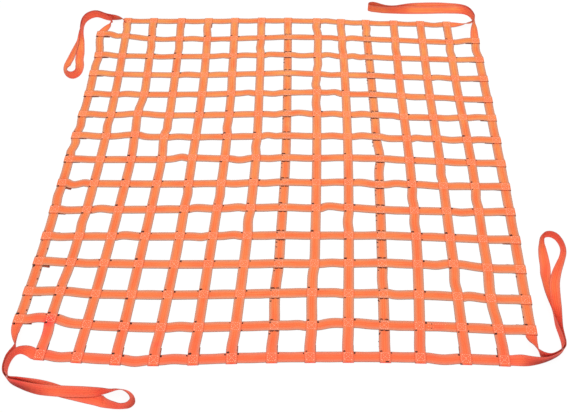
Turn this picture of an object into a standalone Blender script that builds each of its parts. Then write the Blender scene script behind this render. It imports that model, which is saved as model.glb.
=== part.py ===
"""Cargo net of flat webbing, lying on the floor.

Thirteen length straps and thirteen cross straps cross four border straps, 14 x 14 openings in
all. Every strap is one ribbon of webbing. A length or cross strap ends by folding round a border
strap and running back beneath it. At each corner the webbing of both borders turns on edge and
runs on as a lifting loop. The origin is on the floor, under the middle crossing.
"""
import math
from collections import namedtuple

import bmesh
import bpy
from mathutils import Quaternion, Vector

# Driving dimensions, in metres.
PITCH = 0.100            # centre to centre of two straps
CELLS = 14               # openings along each side
MIDDLE = CELLS // 2
WEB_WIDTH = 0.029
WEB_THICK = 0.002
GAP = 0.0003             # between two layers of webbing
PATCH = 0.036            # stretch of strap that lies flat at a crossing
TAIL = 0.035             # end folded under, past the border's inner edge
WRAP_MARGIN = 0.0008     # between a border's outer edge and the centre of the fold round it
WRAP_STEPS = 4           # facets of a fold
UNDER_COLUMNS = (7, 10)  # length straps that pass under the cross straps

HALF_WIDTH = WEB_WIDTH / 2
LAYER = WEB_THICK + GAP
MM = 0.001
UP = Vector((0, 0, 1))

# Unevenness: how far each strap strays sideways, in mm, at five places along it.
Stray = namedtuple("Stray", "start quarter middle three_quarter end")

# Length straps from the left border to the right border, each read from back to front, + to the right.
LENGTH_STRAY = (
    Stray(-31, -4, -5, -6, -19),
    Stray(-33, -12, -4, -11, -32),
    Stray(-32, -9, -3, -13, -30),
    Stray(-24, -8, -3, -12, -26),
    Stray(-19, -4, -3, -8, -25),
    Stray(-18, -4, 2, -9, -21),
    Stray(-16, -4, 3, -6, -20),
    Stray(-14, -6, 0, -6, -14),
    Stray(-4, -2, 0, -3, -13),
    Stray(-13, -2, 1, -4, -13),
    Stray(-19, -9, -3, -8, -16),
    Stray(-13, -11, -3, -6, -24),
    Stray(-13, -12, -6, -6, -6),
    Stray(-14, -14, -7, -11, -7),
    Stray(-21, -17, -16, -19, -26),
)

# Cross straps from the back border to the front border, each read from left to right, + to the back.
CROSS_STRAY = (
    Stray(-3, -4, 0, -14, -24),
    Stray(16, -9, 3, -9, -17),
    Stray(-4, -7, 3, -10, -21),
    Stray(-3, -8, 4, -9, -22),
    Stray(-10, -8, 3, -6, -27),
    Stray(-10, -10, 1, -4, -15),
    Stray(-10, -12, -3, -5, -17),
    Stray(-16, -10, 0, -3, -17),
    Stray(-16, -14, -3, -4, -13),
    Stray(-23, -15, -3, -8, -11),
    Stray(-23, -17, -8, -4, -14),
    Stray(-13, -16, -8, -1, -16),
    Stray(-15, -19, -8, -3, -16),
    Stray(-4, -21, -9, -1, -9),
    Stray(-2, -18, -2, 6, 1),
)

# Crossings pushed out of line or up off the floor, in mm.
Pushed = namedtuple("Pushed", "row column right back rise")
PUSHED = (
    Pushed(13, 1, 0, 12, 9),
    Pushed(12, 1, -3, 6, 2),
    Pushed(5, 2, -8, 4, 3),
    Pushed(6, 2, -4, 6, 3),
    Pushed(7, 10, 6, 0, 2),
    Pushed(8, 10, 0, -5, 0),
    Pushed(4, 5, 2, -2, 3),
    Pushed(1, 8, 4, 0, 2),
    Pushed(2, 8, 3, 0, 1),
    Pushed(13, 9, 0, 6, 2),
    Pushed(2, 0, 7, 0, 1),
    Pushed(1, 2, 0, -6, 0),
    Pushed(1, 12, 0, -4, 0),
    Pushed(1, 13, 0, -6, 0),
    Pushed(4, 8, 0, 4, 1),
    Pushed(5, 11, 0, -5, 0),
    Pushed(5, 12, 0, -4, 0),
    Pushed(6, 3, -5, 0, 0),
    Pushed(6, 11, 0, -4, 0),
    Pushed(7, 9, 0, 4, 0),
    Pushed(9, 9, 0, 5, 0),
    Pushed(8, 9, 0, 3, 0),
    Pushed(8, 12, 0, -3, 0),
    Pushed(11, 12, 0, 5, 2),
    Pushed(12, 7, -4, 0, 0),
    Pushed(12, 8, -3, 3, 0),
    Pushed(12, 13, -5, 0, 0),
)

# Folded-under tails that lie askew beside their cross strap: side, row, turn in degrees.
Askew = namedtuple("Askew", "side row turn")
ASKEW = (
    Askew("left", 8, 9),
    Askew("left", 11, -8),
    Askew("left", 13, 8),
    Askew("right", 4, -7),
)

# Crossings next to a corner, where a border strap heads off its own line, in degrees.
Turned = namedtuple("Turned", "row column degrees")
TURNED = (
    Turned(1, 0, -7),
    Turned(1, 14, -4),
)

# Corner loops. Each row is a place on the edge that rests on the floor, x and y in mm from the
# origin, with the lean of the webbing in degrees (0 flat to the left of the run, 90 on edge,
# 180 flat to the right of it) and how far that edge is lifted off the floor, in mm.
Foot = namedtuple("Foot", "x y lean lift")

FRONT_LEFT_LOOP = (
    Foot(-732, -623, 0, 2.3), Foot(-729, -640, 14, 2.3), Foot(-720, -662, 36, 0.6),
    Foot(-707, -682, 66, 0), Foot(-701, -697, 86, 0), Foot(-705, -708, 90, 0),
    Foot(-711, -722, 90, 0), Foot(-713, -739, 90, 0), Foot(-712, -757, 90, 0),
    Foot(-706, -773, 90, 0), Foot(-692, -788, 86, 0), Foot(-667, -801, 72, 0),
    Foot(-638, -812, 58, 0), Foot(-612, -819, 48, 0.8), Foot(-580, -823, 44, 2.6),
    Foot(-540, -825, 40, 3), Foot(-500, -825, 44, 3.2), Foot(-462, -822, 58, 3),
    Foot(-440, -814, 80, 2), Foot(-422, -806, 101, 0), Foot(-404, -800, 110, 0),
    Foot(-386, -801, 112, 0), Foot(-370, -809, 112, 0), Foot(-359, -823, 108, 0),
    Foot(-357, -836, 104, 0), Foot(-366, -847, 99, 0), Foot(-384, -851, 95, 0),
    Foot(-404, -852, 106, 0), Foot(-420, -851, 116, 0), Foot(-432, -850, 131, 0),
    Foot(-442, -849, 155, 0), Foot(-453, -846, 180, 0), Foot(-487, -839, 180, 0), Foot(-520, -832, 180, 0),
    Foot(-552, -825, 180, 0), Foot(-582, -817, 170, 0), Foot(-612, -810, 150, 0),
    Foot(-640, -802, 128, 0), Foot(-668, -792, 108, 0), Foot(-690, -780, 95, 0),
    Foot(-701, -768, 90, 0), Foot(-707, -753, 90, 0), Foot(-708, -737, 90, 0),
    Foot(-704, -721, 90, 0), Foot(-698, -711, 90, 0), Foot(-688, -706, 80, 0),
    Foot(-675, -709, 54, 0), Foot(-664, -715, 22, 0.9), Foot(-654, -721, 0, 2.3),
)

FRONT_RIGHT_LOOP = (
    Foot(613, -712, 0, 2.3), Foot(630, -714, 14, 1.2), Foot(652, -715, 38, 0),
    Foot(676, -711, 62, 0), Foot(700, -703, 84, 0), Foot(724, -691, 90, 0),
    Foot(741, -679, 90, 0), Foot(751, -666, 90, 0), Foot(754, -651, 90, 0),
    Foot(754, -634, 90, 0), Foot(752, -611, 94, 0), Foot(750, -580, 108, 0),
    Foot(749, -545, 126, 0), Foot(752, -505, 138, 0), Foot(759, -460, 142, 0),
    Foot(771, -420, 138, 0), Foot(786, -390, 132, 0), Foot(800, -364, 116, 0),
    Foot(808, -342, 98, 0), Foot(807, -324, 92, 0), Foot(798, -309, 90, 0),
    Foot(784, -303, 90, 0), Foot(771, -306, 96, 0), Foot(767, -318, 120, 0),
    Foot(768, -340, 150, 0), Foot(769, -372, 172, 0), Foot(769, -405, 178, 0),
    Foot(766, -430, 176, 0), Foot(758, -462, 154, 0), Foot(750, -495, 138, 0),
    Foot(745, -530, 121, 0), Foot(744, -560, 111, 0), Foot(745, -592, 100, 0),
    Foot(748, -622, 93, 0), Foot(749, -645, 90, 0), Foot(746, -660, 90, 0),
    Foot(738, -672, 90, 0), Foot(724, -684, 90, 0), Foot(709, -692, 93, 0),
    Foot(698, -694, 98, 0), Foot(691, -688, 94, 0), Foot(689, -674, 70, 0),
    Foot(689, -656, 44, 0), Foot(689, -641, 20, 0.8), Foot(690, -628, 0, 2.3),
)

BACK_LEFT_LOOP = (
    Foot(-653, 711, 0, 2.3), Foot(-665, 709, 18, 0.8), Foot(-678, 707, 40, 0),
    Foot(-693, 706, 64, 0), Foot(-711, 709, 88, 0), Foot(-728, 716, 90, 0),
    Foot(-744, 724, 90, 0), Foot(-761, 727, 90, 0), Foot(-778, 721, 90, 0),
    Foot(-792, 708, 90, 0), Foot(-799, 692, 90, 0), Foot(-802, 668, 90, 0),
    Foot(-803, 640, 84, 0), Foot(-805, 610, 70, 0), Foot(-808, 580, 52, 0),
    Foot(-813, 545, 34, 0), Foot(-819, 510, 20, 0), Foot(-825, 475, 12, 0),
    Foot(-826, 445, 14, 0), Foot(-823, 420, 24, 0), Foot(-815, 400, 50, 0),
    Foot(-803, 384, 74, 0), Foot(-789, 374, 80, 0), Foot(-775, 372, 80, 0),
    Foot(-762, 380, 74, 0), Foot(-753, 396, 58, 0), Foot(-750, 418, 36, 0),
    Foot(-752, 444, 14, 0), Foot(-758, 475, 8, 0), Foot(-764, 510, 12, 0),
    Foot(-771, 545, 28, 0), Foot(-779, 580, 50, 0), Foot(-788, 610, 72, 0),
    Foot(-795, 640, 86, 0), Foot(-798, 670, 90, 0), Foot(-795, 691, 90, 0),
    Foot(-788, 705, 90, 0), Foot(-776, 717, 90, 0), Foot(-761, 723, 90, 0),
    Foot(-746, 720, 90, 0), Foot(-730, 712, 90, 0), Foot(-713, 705, 92, 0),
    Foot(-702, 702, 103, 0), Foot(-693, 697, 97, 0), Foot(-692, 692, 86, 0),
    Foot(-699, 686, 56, 0), Foot(-709, 677, 26, 0.6), Foot(-720, 662, 8, 1.6),
    Foot(-730, 644, 0, 2.3),
)

BACK_RIGHT_LOOP = (
    Foot(696, 604, 0, 2.3), Foot(697, 626, 12, 1.5), Foot(698, 655, 35, 0.3),
    Foot(696, 680, 62, 0), Foot(691, 702, 86, 0), Foot(686, 720, 90, 0),
    Foot(678, 739, 92, 0), Foot(662, 752, 104, 0), Foot(640, 759, 118, 0),
    Foot(605, 764, 132, 0), Foot(565, 768, 134, 0), Foot(525, 768, 134, 0),
    Foot(484, 766, 130, 0), Foot(450, 763, 118, 0), Foot(420, 760, 103, 0),
    Foot(391, 758, 93, 0), Foot(365, 761, 90, 0), Foot(342, 769, 90, 0),
    Foot(322, 779, 90, 0), Foot(306, 782, 90, 0), Foot(295, 777, 90, 0),
    Foot(293, 768, 90, 0), Foot(302, 762, 90, 0), Foot(322, 757, 90, 0),
    Foot(350, 752, 88, 0), Foot(388, 749, 82, 0), Foot(420, 747, 68, 0),
    Foot(449, 746, 48, 0), Foot(484, 746, 34, 0), Foot(525, 747, 28, 0),
    Foot(568, 749, 28, 0), Foot(605, 749, 34, 0), Foot(638, 748, 50, 0),
    Foot(658, 745, 72, 0), Foot(673, 736, 88, 0), Foot(682, 720, 90, 0),
    Foot(686, 706, 90, 0), Foot(684, 695, 80, 0), Foot(673, 689, 58, 0),
    Foot(656, 689, 40, 0), Foot(638, 690, 22, 0.6), Foot(618, 692, 6, 1.9),
    Foot(605, 693, 0, 2.3),
)

# Colours of the webbing (linear), its roughness and metallic value.
ORANGE = (0.90, 0.21, 0.06, 1)
BORDER_ORANGE = (0.86, 0.17, 0.05, 1)
LOOP_RED = (0.80, 0.09, 0.03, 1)
CLOTH_ROUGHNESS = 0.8

Station = namedtuple("Station", "centre across")  # across is half the width, towards the left edge


def level(layer):
    """Height of the middle of a strap in the given layer."""
    return WEB_THICK / 2 + layer * LAYER


def stray_at(stray, place):
    """Sideways shift at a place from 0 to CELLS, on a smooth curve through the five values."""
    span = CELLS / (len(stray) - 1)
    index = min(int(place / span), len(stray) - 2)
    t = place / span - index
    before = stray[index - 1] if index > 0 else 2 * stray[0] - stray[1]
    after = stray[index + 2] if index + 2 < len(stray) else 2 * stray[-1] - stray[-2]
    slope_in = (stray[index + 1] - before) / 2
    slope_out = (after - stray[index]) / 2
    rest = 1 - t
    blend = stray[index] * rest * rest * (1 + 2 * t) + stray[index + 1] * t * t * (3 - 2 * t)
    return (blend + slope_in * t * rest * rest - slope_out * t * t * rest) * MM


def push_at(row, column):
    """Local push at one crossing, as a vector."""
    for push in PUSHED:
        if (push.row, push.column) == (row, column):
            return Vector((push.right, push.back, push.rise)) * MM
    return Vector((0, 0, 0))


def crossing(row, column):
    """Middle of a crossing; z is its rise off the floor."""
    x = (column - MIDDLE) * PITCH + stray_at(LENGTH_STRAY[column], row)
    y = (MIDDLE - row) * PITCH + stray_at(CROSS_STRAY[row], column)
    return Vector((x, y, 0)) + push_at(row, column)


def flat(vector):
    """The vector's direction in plan."""
    return Vector((vector.x, vector.y, 0)).normalized()


def leftward(run):
    """Half the width, to the left of a level run."""
    return UP.cross(run) * HALF_WIDTH


def patch_stations(point, run, height):
    """Two stations at the ends of the flat patch at a crossing."""
    middle = point + UP * height
    return [Station(middle - run * PATCH / 2, leftward(run)),
            Station(middle + run * PATCH / 2, leftward(run))]


def fold_stations(point, out, turn):
    """Stations of a strap that runs out over a border strap, folds round it and comes back."""
    across = leftward(out)
    stations = [Station(point - out * PATCH / 2 + UP * level(2), across)]
    hinge = point + out * (HALF_WIDTH + WRAP_MARGIN) + UP * level(1)
    for step in range(WRAP_STEPS + 1):
        angle = math.pi / 2 - math.pi * step / WRAP_STEPS
        stations.append(Station(hinge + out * LAYER * math.cos(angle) + UP * LAYER * math.sin(angle), across))
    back = turned(-out, turn)
    start = point + out * HALF_WIDTH + UP * level(0)
    skewed = -leftward(back)
    end = start + back * (WEB_WIDTH + TAIL)
    stations.append(Station(start + back * HALF_WIDTH, (across + skewed) / 2))
    stations.append(Station(end, skewed))
    return stations


def ribbon(name, stations, material, collection):
    """One strap: a strip of faces laid along the stations, thickened to the webbing."""
    segments = len(stations) - 1
    sheet = bmesh.new()
    bmesh.ops.create_grid(sheet, x_segments=segments, y_segments=1, size=0.5)
    for vertex in sheet.verts:
        station = stations[round((vertex.co.x + 0.5) * segments)]
        side = 1 if vertex.co.y > 0 else -1
        vertex.co = station.centre + station.across * side
    mesh = bpy.data.meshes.new(name)
    sheet.to_mesh(mesh)
    sheet.free()
    mesh.materials.append(material)
    strap = bpy.data.objects.new(name, mesh)
    collection.objects.link(strap)
    solidify = strap.modifiers.new("webbing", "SOLIDIFY")
    solidify.thickness = WEB_THICK
    solidify.offset = 0
    solidify.use_even_offset = True
    return strap


def cloth(name, colour):
    """Woven webbing of one colour."""
    material = bpy.data.materials.new(name)
    material.use_nodes = True
    shader = material.node_tree.nodes["Principled BSDF"]
    shader.inputs["Base Color"].default_value = colour
    shader.inputs["Roughness"].default_value = CLOTH_ROUGHNESS
    shader.inputs["Metallic"].default_value = 0
    return material


def length_layer(row, column):
    """Layer of a length strap at a crossing."""
    if row in (0, CELLS):
        return 2
    return 0 if column in UNDER_COLUMNS else 1


def cross_layer(column):
    """Layer of a cross strap at a crossing."""
    if column in (0, CELLS):
        return 2
    return 1 if column in UNDER_COLUMNS else 0


def askew_turn(side, row):
    """Turn of a folded-under tail, in degrees."""
    return sum(tail.turn for tail in ASKEW if (tail.side, tail.row) == (side, row))


def turned(vector, degrees):
    """The vector turned about the vertical."""
    return Quaternion(UP, math.radians(degrees)) @ vector


def border_run(row, column):
    """Heading of a border strap at a crossing, from left to right or from back to front."""
    before = [min(max(place - 1, 1), CELLS - 1) for place in (row, column)]
    after = [min(max(place + 1, 1), CELLS - 1) for place in (row, column)]
    if column in (0, CELLS):
        run = flat(crossing(after[0], column) - crossing(before[0], column))
    else:
        run = flat(crossing(row, after[1]) - crossing(row, before[1]))
    return turned(run, sum(place.degrees for place in TURNED
                           if (place.row, place.column) == (row, column)))


def border_out(row, column):
    """Direction square to a border strap at a crossing, away from the net."""
    left = UP.cross(border_run(row, column))
    return left if row == 0 or column == CELLS else -left


def length_strap(column):
    """Stations of a length strap, from the back fold to the front fold."""
    back = border_out(0, column)
    front = border_out(CELLS, column)
    stations = []
    for station in reversed(fold_stations(crossing(0, column), back, 0)):
        stations.append(Station(station.centre, -station.across))
    for row in range(1, CELLS):
        run = flat(crossing(row + 1, column) - crossing(row - 1, column))
        stations += patch_stations(crossing(row, column), run, level(length_layer(row, column)))
    return stations + fold_stations(crossing(CELLS, column), front, 0)


def cross_strap(row):
    """Stations of a cross strap, from the left fold to the right fold."""
    left = border_out(row, 0)
    right = border_out(row, CELLS)
    stations = []
    for station in reversed(fold_stations(crossing(row, 0), left, askew_turn("left", row))):
        stations.append(Station(station.centre, -station.across))
    for column in range(1, CELLS):
        run = flat(crossing(row, column + 1) - crossing(row, column - 1))
        stations += patch_stations(crossing(row, column), run, level(cross_layer(column)))
    return stations + fold_stations(crossing(row, CELLS), right, askew_turn("right", row))


def border_strap(places):
    """Stations of a border strap along its crossings; both ends stop in the middle of a fold."""
    stations = []
    for row, column in places:
        stations += patch_stations(crossing(row, column), border_run(row, column), level(1))
    for end, place, way in ((0, places[0], 1), (-1, places[-1], -1)):
        run = border_run(*place)
        butt = crossing(*place) + run * way * GAP / 2 + UP * level(1)
        stations[end] = Station(butt, leftward(run))
    return stations


def leaning_station(foot, run):
    """Station of webbing that leans on the edge given by the row."""
    lean = math.radians(foot.lean)
    across = UP.cross(run) * math.cos(lean) + UP * math.sin(lean)
    rise = max(foot.lift * MM, GAP) + WEB_THICK / 2 * abs(math.cos(lean))
    place = Vector((foot.x * MM, foot.y * MM, rise))
    return Station(place + across * HALF_WIDTH, across * HALF_WIDTH)


def corner_loop(rows, entry, leave):
    """Stations of a corner loop, from one border strap's end round its eye to the other's."""
    start, start_run = entry
    end, end_run = leave
    places = [Vector((row.x, row.y, 0)) * MM for row in rows]
    first_edge = start - leftward(start_run)
    last_edge = end - leftward(end_run)
    chain = [first_edge] + places + [last_edge]
    stations = [Station(start + start_run * GAP / 2 + UP * level(1), leftward(start_run))]
    for index, row in enumerate(rows):
        run = flat(chain[index + 2] - chain[index])
        stations.append(leaning_station(row, run))
    stations.append(Station(end - end_run * GAP / 2 + UP * level(1), leftward(end_run)))
    return stations


def seam(place, way):
    """Where a border strap meets a loop: the crossing, and the heading of the loop's webbing."""
    return crossing(*place), border_run(*place) * way


def clear_scene():
    """Remove every object in the scene."""
    for item in list(bpy.data.objects):
        bpy.data.objects.remove(item)


def main():
    """Build the net."""
    clear_scene()
    net = bpy.data.collections.new("cargo_net")
    bpy.context.scene.collection.children.link(net)
    inner = range(1, CELLS)

    for column in inner:
        name = f"length_strap_{column:02d}"
        ribbon(name, length_strap(column), cloth(f"{name}_webbing", ORANGE), net)
    for row in inner:
        name = f"cross_strap_{row:02d}"
        ribbon(name, cross_strap(row), cloth(f"{name}_webbing", ORANGE), net)

    borders = {
        "border_strap_left": [(row, 0) for row in inner],
        "border_strap_right": [(row, CELLS) for row in inner],
        "border_strap_back": [(0, column) for column in inner],
        "border_strap_front": [(CELLS, column) for column in inner],
    }
    for name, places in borders.items():
        ribbon(name, border_strap(places), cloth(f"{name}_webbing", BORDER_ORANGE), net)

    last = CELLS - 1
    loops = {
        "corner_loop_front_left": (FRONT_LEFT_LOOP, seam((last, 0), 1), seam((CELLS, 1), 1)),
        "corner_loop_front_right": (FRONT_RIGHT_LOOP, seam((CELLS, last), 1), seam((last, CELLS), -1)),
        "corner_loop_back_left": (BACK_LEFT_LOOP, seam((0, 1), -1), seam((1, 0), 1)),
        "corner_loop_back_right": (BACK_RIGHT_LOOP, seam((1, CELLS), -1), seam((0, last), -1)),
    }
    for name, (rows, entry, leave) in loops.items():
        ribbon(name, corner_loop(rows, entry, leave), cloth(f"{name}_webbing", LOOP_RED), net)


main()
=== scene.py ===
"""Orange webbing cargo net laid out flat on a pale floor, with its sewing, light and camera.

The net has thirteen length straps, thirteen cross straps, four border straps and four corner
loops. Each strap is one sheet of ribbed webbing, folded, leaned and bulged as it lies on the
floor. A square of stitches holds every crossing, and dark tacks sit at the corners of the squares
as painted shade for the gaps there.
"""
import logging
import math
import random
from dataclasses import dataclass
from enum import Enum
from typing import Any, ClassVar, Dict, List, NamedTuple, Optional, Sequence, Tuple

import bpy
import numpy as np
from mathutils import Matrix, Quaternion, Vector


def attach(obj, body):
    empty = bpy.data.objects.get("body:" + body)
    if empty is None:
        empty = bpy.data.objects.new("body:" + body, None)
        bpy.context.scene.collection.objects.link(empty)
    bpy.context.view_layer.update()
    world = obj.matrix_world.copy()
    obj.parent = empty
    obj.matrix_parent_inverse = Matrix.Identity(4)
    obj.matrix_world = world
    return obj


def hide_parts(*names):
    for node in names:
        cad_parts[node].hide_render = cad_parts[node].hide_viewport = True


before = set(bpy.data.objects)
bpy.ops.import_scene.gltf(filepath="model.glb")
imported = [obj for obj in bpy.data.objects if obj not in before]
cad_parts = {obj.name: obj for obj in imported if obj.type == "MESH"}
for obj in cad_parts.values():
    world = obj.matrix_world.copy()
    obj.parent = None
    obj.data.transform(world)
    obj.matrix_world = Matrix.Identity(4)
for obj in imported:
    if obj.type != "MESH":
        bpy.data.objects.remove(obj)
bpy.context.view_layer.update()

LOG = logging.getLogger("cargo_net")
MM = 0.001
UP = Vector((0.0, 0.0, 1.0))
BODY = "root"
SEED_BASE = 7919
Colour = Tuple[float, float, float, float]
Socket = bpy.types.NodeSocket


class Stray(NamedTuple):
    """Sideways shift of a strap, in mm, at five places along it."""

    start: float
    quarter: float
    middle: float
    three_quarter: float
    end: float


class Push(NamedTuple):
    """A crossing pushed out of line or up off the floor, in mm."""

    row: int
    column: int
    right: float
    back: float
    rise: float


class Bulge(NamedTuple):
    """A strap's bow between two crossings, in mm, and its top's place as a share of the cell."""

    strap: int
    cell: int
    sideways: float
    top: float = 0.5


class Askew(NamedTuple):
    """A cross strap's folded-under tail that lies askew, in degrees."""

    side: "Side"
    row: int
    turn: float


class Spot(NamedTuple):
    """A round place where the webbing's colour changes: x, y and radius in mm, and how much."""

    x: float
    y: float
    radius: float
    amount: float


class Mark(NamedTuple):
    """A dark tack of painted shade away from the usual places: x, y and length in mm, layer,
    heading in degrees.
    """

    x: float
    y: float
    layer: int
    length: float
    heading: float


class Turned(NamedTuple):
    """A crossing where a border strap heads off its own line, in degrees."""

    row: int
    column: int
    degrees: float


class Foot(NamedTuple):
    """A place on the lower edge of a loop: x and y in mm, lean in degrees, lift in mm."""

    x: float
    y: float
    lean: float
    lift: float = 0.0


class Station(NamedTuple):
    """A cross-section of a strap: its middle, the way to its left edge, how sewn, its painted
    shade.
    """

    centre: Vector
    across: Vector
    sewn: float = 0.0
    hidden: float = 0.0


class Knot(NamedTuple):
    """A flat stretch of strap at a crossing: its middle and its heading."""

    middle: Vector
    run: Vector


class Side(Enum):
    """The four sides of the net."""

    LEFT = "left"
    RIGHT = "right"
    BACK = "back"
    FRONT = "front"


class Way(Enum):
    """Which way a field strap runs."""

    LENGTH = "length"
    CROSS = "cross"


class Draw(Enum):
    """What a stream of random numbers decides; the value is part of its seed."""

    LENGTH_TONE = 3
    CROSS_TONE = 5
    LENGTH_LIE = 11
    CROSS_LIE = 13
    BORDER_TONE = 17
    BORDER_LIE = 19
    LOOP_TONE = 23
    SQUARE = 29
    SHADOW_TACKS = 31
    SPLICE = 37


# Length straps and side borders from left to right, each from back to front, + to the right.
LENGTH_STRAY = (
    Stray(-31, -4, -5, -6, -19),
    Stray(-33, -12, -4, -11, -32),
    Stray(-32, -9, -3, -13, -30),
    Stray(-24, -8, -3, -12, -26),
    Stray(-19, -4, -3, -8, -25),
    Stray(-18, -4, 2, -9, -21),
    Stray(-16, -4, 3, -6, -20),
    Stray(-14, -6, 0, -6, -14),
    Stray(-4, -2, 0, -3, -13),
    Stray(-13, -2, 1, -4, -13),
    Stray(-19, -9, -3, -8, -16),
    Stray(-13, -11, -3, -6, -24),
    Stray(-13, -12, -6, -6, -6),
    Stray(-14, -14, -7, -11, -7),
    Stray(-21, -17, -16, -19, -26),
)

# Cross straps and borders from back to front, each from left to right, + to the back.
CROSS_STRAY = (
    Stray(-3, -4, 0, -14, -24),
    Stray(16, -9, 3, -9, -17),
    Stray(-4, -7, 3, -10, -21),
    Stray(-3, -8, 4, -9, -22),
    Stray(-10, -8, 3, -6, -27),
    Stray(-10, -10, 1, -4, -15),
    Stray(-10, -12, -3, -5, -17),
    Stray(-16, -10, 0, -3, -17),
    Stray(-16, -14, -3, -4, -13),
    Stray(-23, -15, -3, -8, -11),
    Stray(-23, -17, -8, -4, -14),
    Stray(-13, -16, -8, -1, -16),
    Stray(-15, -19, -8, -3, -16),
    Stray(-4, -21, -9, -1, -9),
    Stray(-2, -18, -2, 6, 1),
)

# Crossings pushed out of line or up off the floor.
PUSHED = (
    Push(13, 1, 0, 8, 6), Push(12, 1, -3, 4, 2), Push(5, 2, -8, 4, 3), Push(6, 2, -4, 6, 3),
    Push(7, 10, 6, 0, 2), Push(8, 10, 0, -5, 0), Push(4, 5, 2, -2, 3), Push(1, 8, 4, 0, 2),
    Push(2, 8, 3, 0, 1), Push(13, 9, 0, 6, 2), Push(2, 0, 7, 0, 1), Push(1, 2, 0, -6, 0),
    Push(1, 12, 0, -4, 0), Push(1, 13, 0, -6, 0), Push(4, 8, 0, 4, 1), Push(5, 11, 0, -5, 0),
    Push(5, 12, 0, -4, 0), Push(6, 3, -5, 0, 0), Push(6, 11, 0, -4, 0), Push(7, 9, 0, 4, 0),
    Push(9, 9, 0, 5, 0), Push(8, 9, 0, 3, 0), Push(8, 12, 0, -3, 0), Push(11, 12, 0, 5, 2),
    Push(12, 7, -4, 0, 0), Push(12, 8, -3, 3, 0), Push(12, 13, -5, 0, 0), Push(7, 4, 0, 4, 1),
)

# Bows of the cross straps (strap is the row, cell 0 lies at the left border), + to the back.
CROSS_BULGES = (
    Bulge(0, 8, 5, 0.35), Bulge(0, 12, -3),
    Bulge(1, 0, 2, 0.3), Bulge(1, 0, -5, 0.7), Bulge(1, 2, -3), Bulge(1, 3, 3), Bulge(1, 8, 3, 0.6),
    Bulge(1, 9, 5, 0.35),
    Bulge(2, 2, -3, 0.4), Bulge(2, 4, 3, 0.7), Bulge(2, 5, 3, 0.3), Bulge(2, 6, 5, 0.3),
    Bulge(2, 7, -4, 0.4), Bulge(2, 8, 6, 0.3), Bulge(2, 9, 5, 0.3), Bulge(2, 9, -4, 0.72),
    Bulge(3, 3, 3, 0.3), Bulge(3, 8, -4), Bulge(3, 12, 3, 0.3),
    Bulge(4, 1, 3, 0.3), Bulge(4, 5, 5, 0.65), Bulge(4, 6, -4), Bulge(4, 8, 7, 0.7),
    Bulge(4, 11, -3, 0.4),
    Bulge(5, 6, -4, 0.65), Bulge(5, 7, 5, 0.4), Bulge(5, 8, 3, 0.6), Bulge(5, 9, 3, 0.6),
    Bulge(5, 10, 4, 0.7), Bulge(5, 12, -3), Bulge(5, 13, 3),
    Bulge(6, 2, -5, 0.3), Bulge(6, 3, 3, 0.4), Bulge(6, 6, 5, 0.3), Bulge(6, 6, -3, 0.7),
    Bulge(6, 8, 3), Bulge(6, 9, 4), Bulge(6, 10, -4, 0.3), Bulge(6, 11, 6, 0.3),
    Bulge(6, 11, -3, 0.6), Bulge(6, 12, -4, 0.45), Bulge(6, 13, 3, 0.35),
    Bulge(7, 3, 6, 0.72), Bulge(7, 5, -6), Bulge(7, 6, -2), Bulge(7, 12, -2),
    Bulge(8, 0, -9, 0.3), Bulge(8, 0, 5, 0.75), Bulge(8, 5, -3, 0.4), Bulge(8, 6, -2, 0.3),
    Bulge(8, 9, 3), Bulge(8, 10, 5),
    Bulge(9, 0, -3, 0.3), Bulge(9, 1, 5, 0.4), Bulge(9, 4, 4, 0.3), Bulge(9, 5, 3, 0.7),
    Bulge(9, 8, 7, 0.32), Bulge(9, 12, -3, 0.45),
    Bulge(10, 0, -3, 0.3), Bulge(10, 2, 4, 0.3), Bulge(10, 4, -3, 0.72), Bulge(10, 5, 4, 0.65),
    Bulge(11, 1, -2), Bulge(11, 11, -4, 0.55), Bulge(11, 8, 2),
    Bulge(12, 10, -3, 0.3), Bulge(12, 12, 3, 0.3), Bulge(12, 8, 2, 0.7),
    Bulge(13, 0, 2), Bulge(13, 1, -4, 0.4), Bulge(13, 4, 3), Bulge(13, 7, 3, 0.7), Bulge(13, 8, 3),
    Bulge(14, 1, -3), Bulge(14, 3, -4), Bulge(14, 4, 3), Bulge(14, 11, -4),
)

# Bows of the length straps (strap is the column, cell 0 lies at the back border), + to the right.
LENGTH_BULGES = (
    Bulge(0, 2, -3), Bulge(0, 5, 3, 0.6), Bulge(0, 6, 4, 0.27), Bulge(0, 6, -4, 0.73),
    Bulge(0, 8, -3),
    Bulge(1, 0, 3), Bulge(1, 5, -3), Bulge(1, 9, -3), Bulge(1, 13, 3, 0.4),
    Bulge(2, 1, 2),
    Bulge(3, 1, 2, 0.6), Bulge(3, 5, 4, 0.7),
    Bulge(4, 0, -3, 0.35), Bulge(4, 8, 3, 0.35),
    Bulge(5, 5, -3, 0.65), Bulge(5, 8, 2),
    Bulge(6, 1, -3, 0.65), Bulge(6, 6, -3), Bulge(6, 9, -3, 0.45),
    Bulge(8, 0, -3, 0.35), Bulge(8, 2, 3), Bulge(8, 3, -4, 0.65), Bulge(8, 4, -3),
    Bulge(8, 11, -2, 0.35),
    Bulge(9, 1, -2), Bulge(9, 9, -3, 0.55),
    Bulge(10, 0, 4, 0.27), Bulge(10, 0, -3, 0.73), Bulge(10, 7, -3, 0.4), Bulge(10, 11, -1.5),
    Bulge(11, 1, -2), Bulge(11, 8, -3, 0.55), Bulge(11, 9, -2.5),
    Bulge(12, 7, -3, 0.6), Bulge(12, 11, -3, 0.6),
    Bulge(13, 1, -3), Bulge(13, 8, -3, 0.55),
    Bulge(14, 1, -3, 0.55),
)

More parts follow.
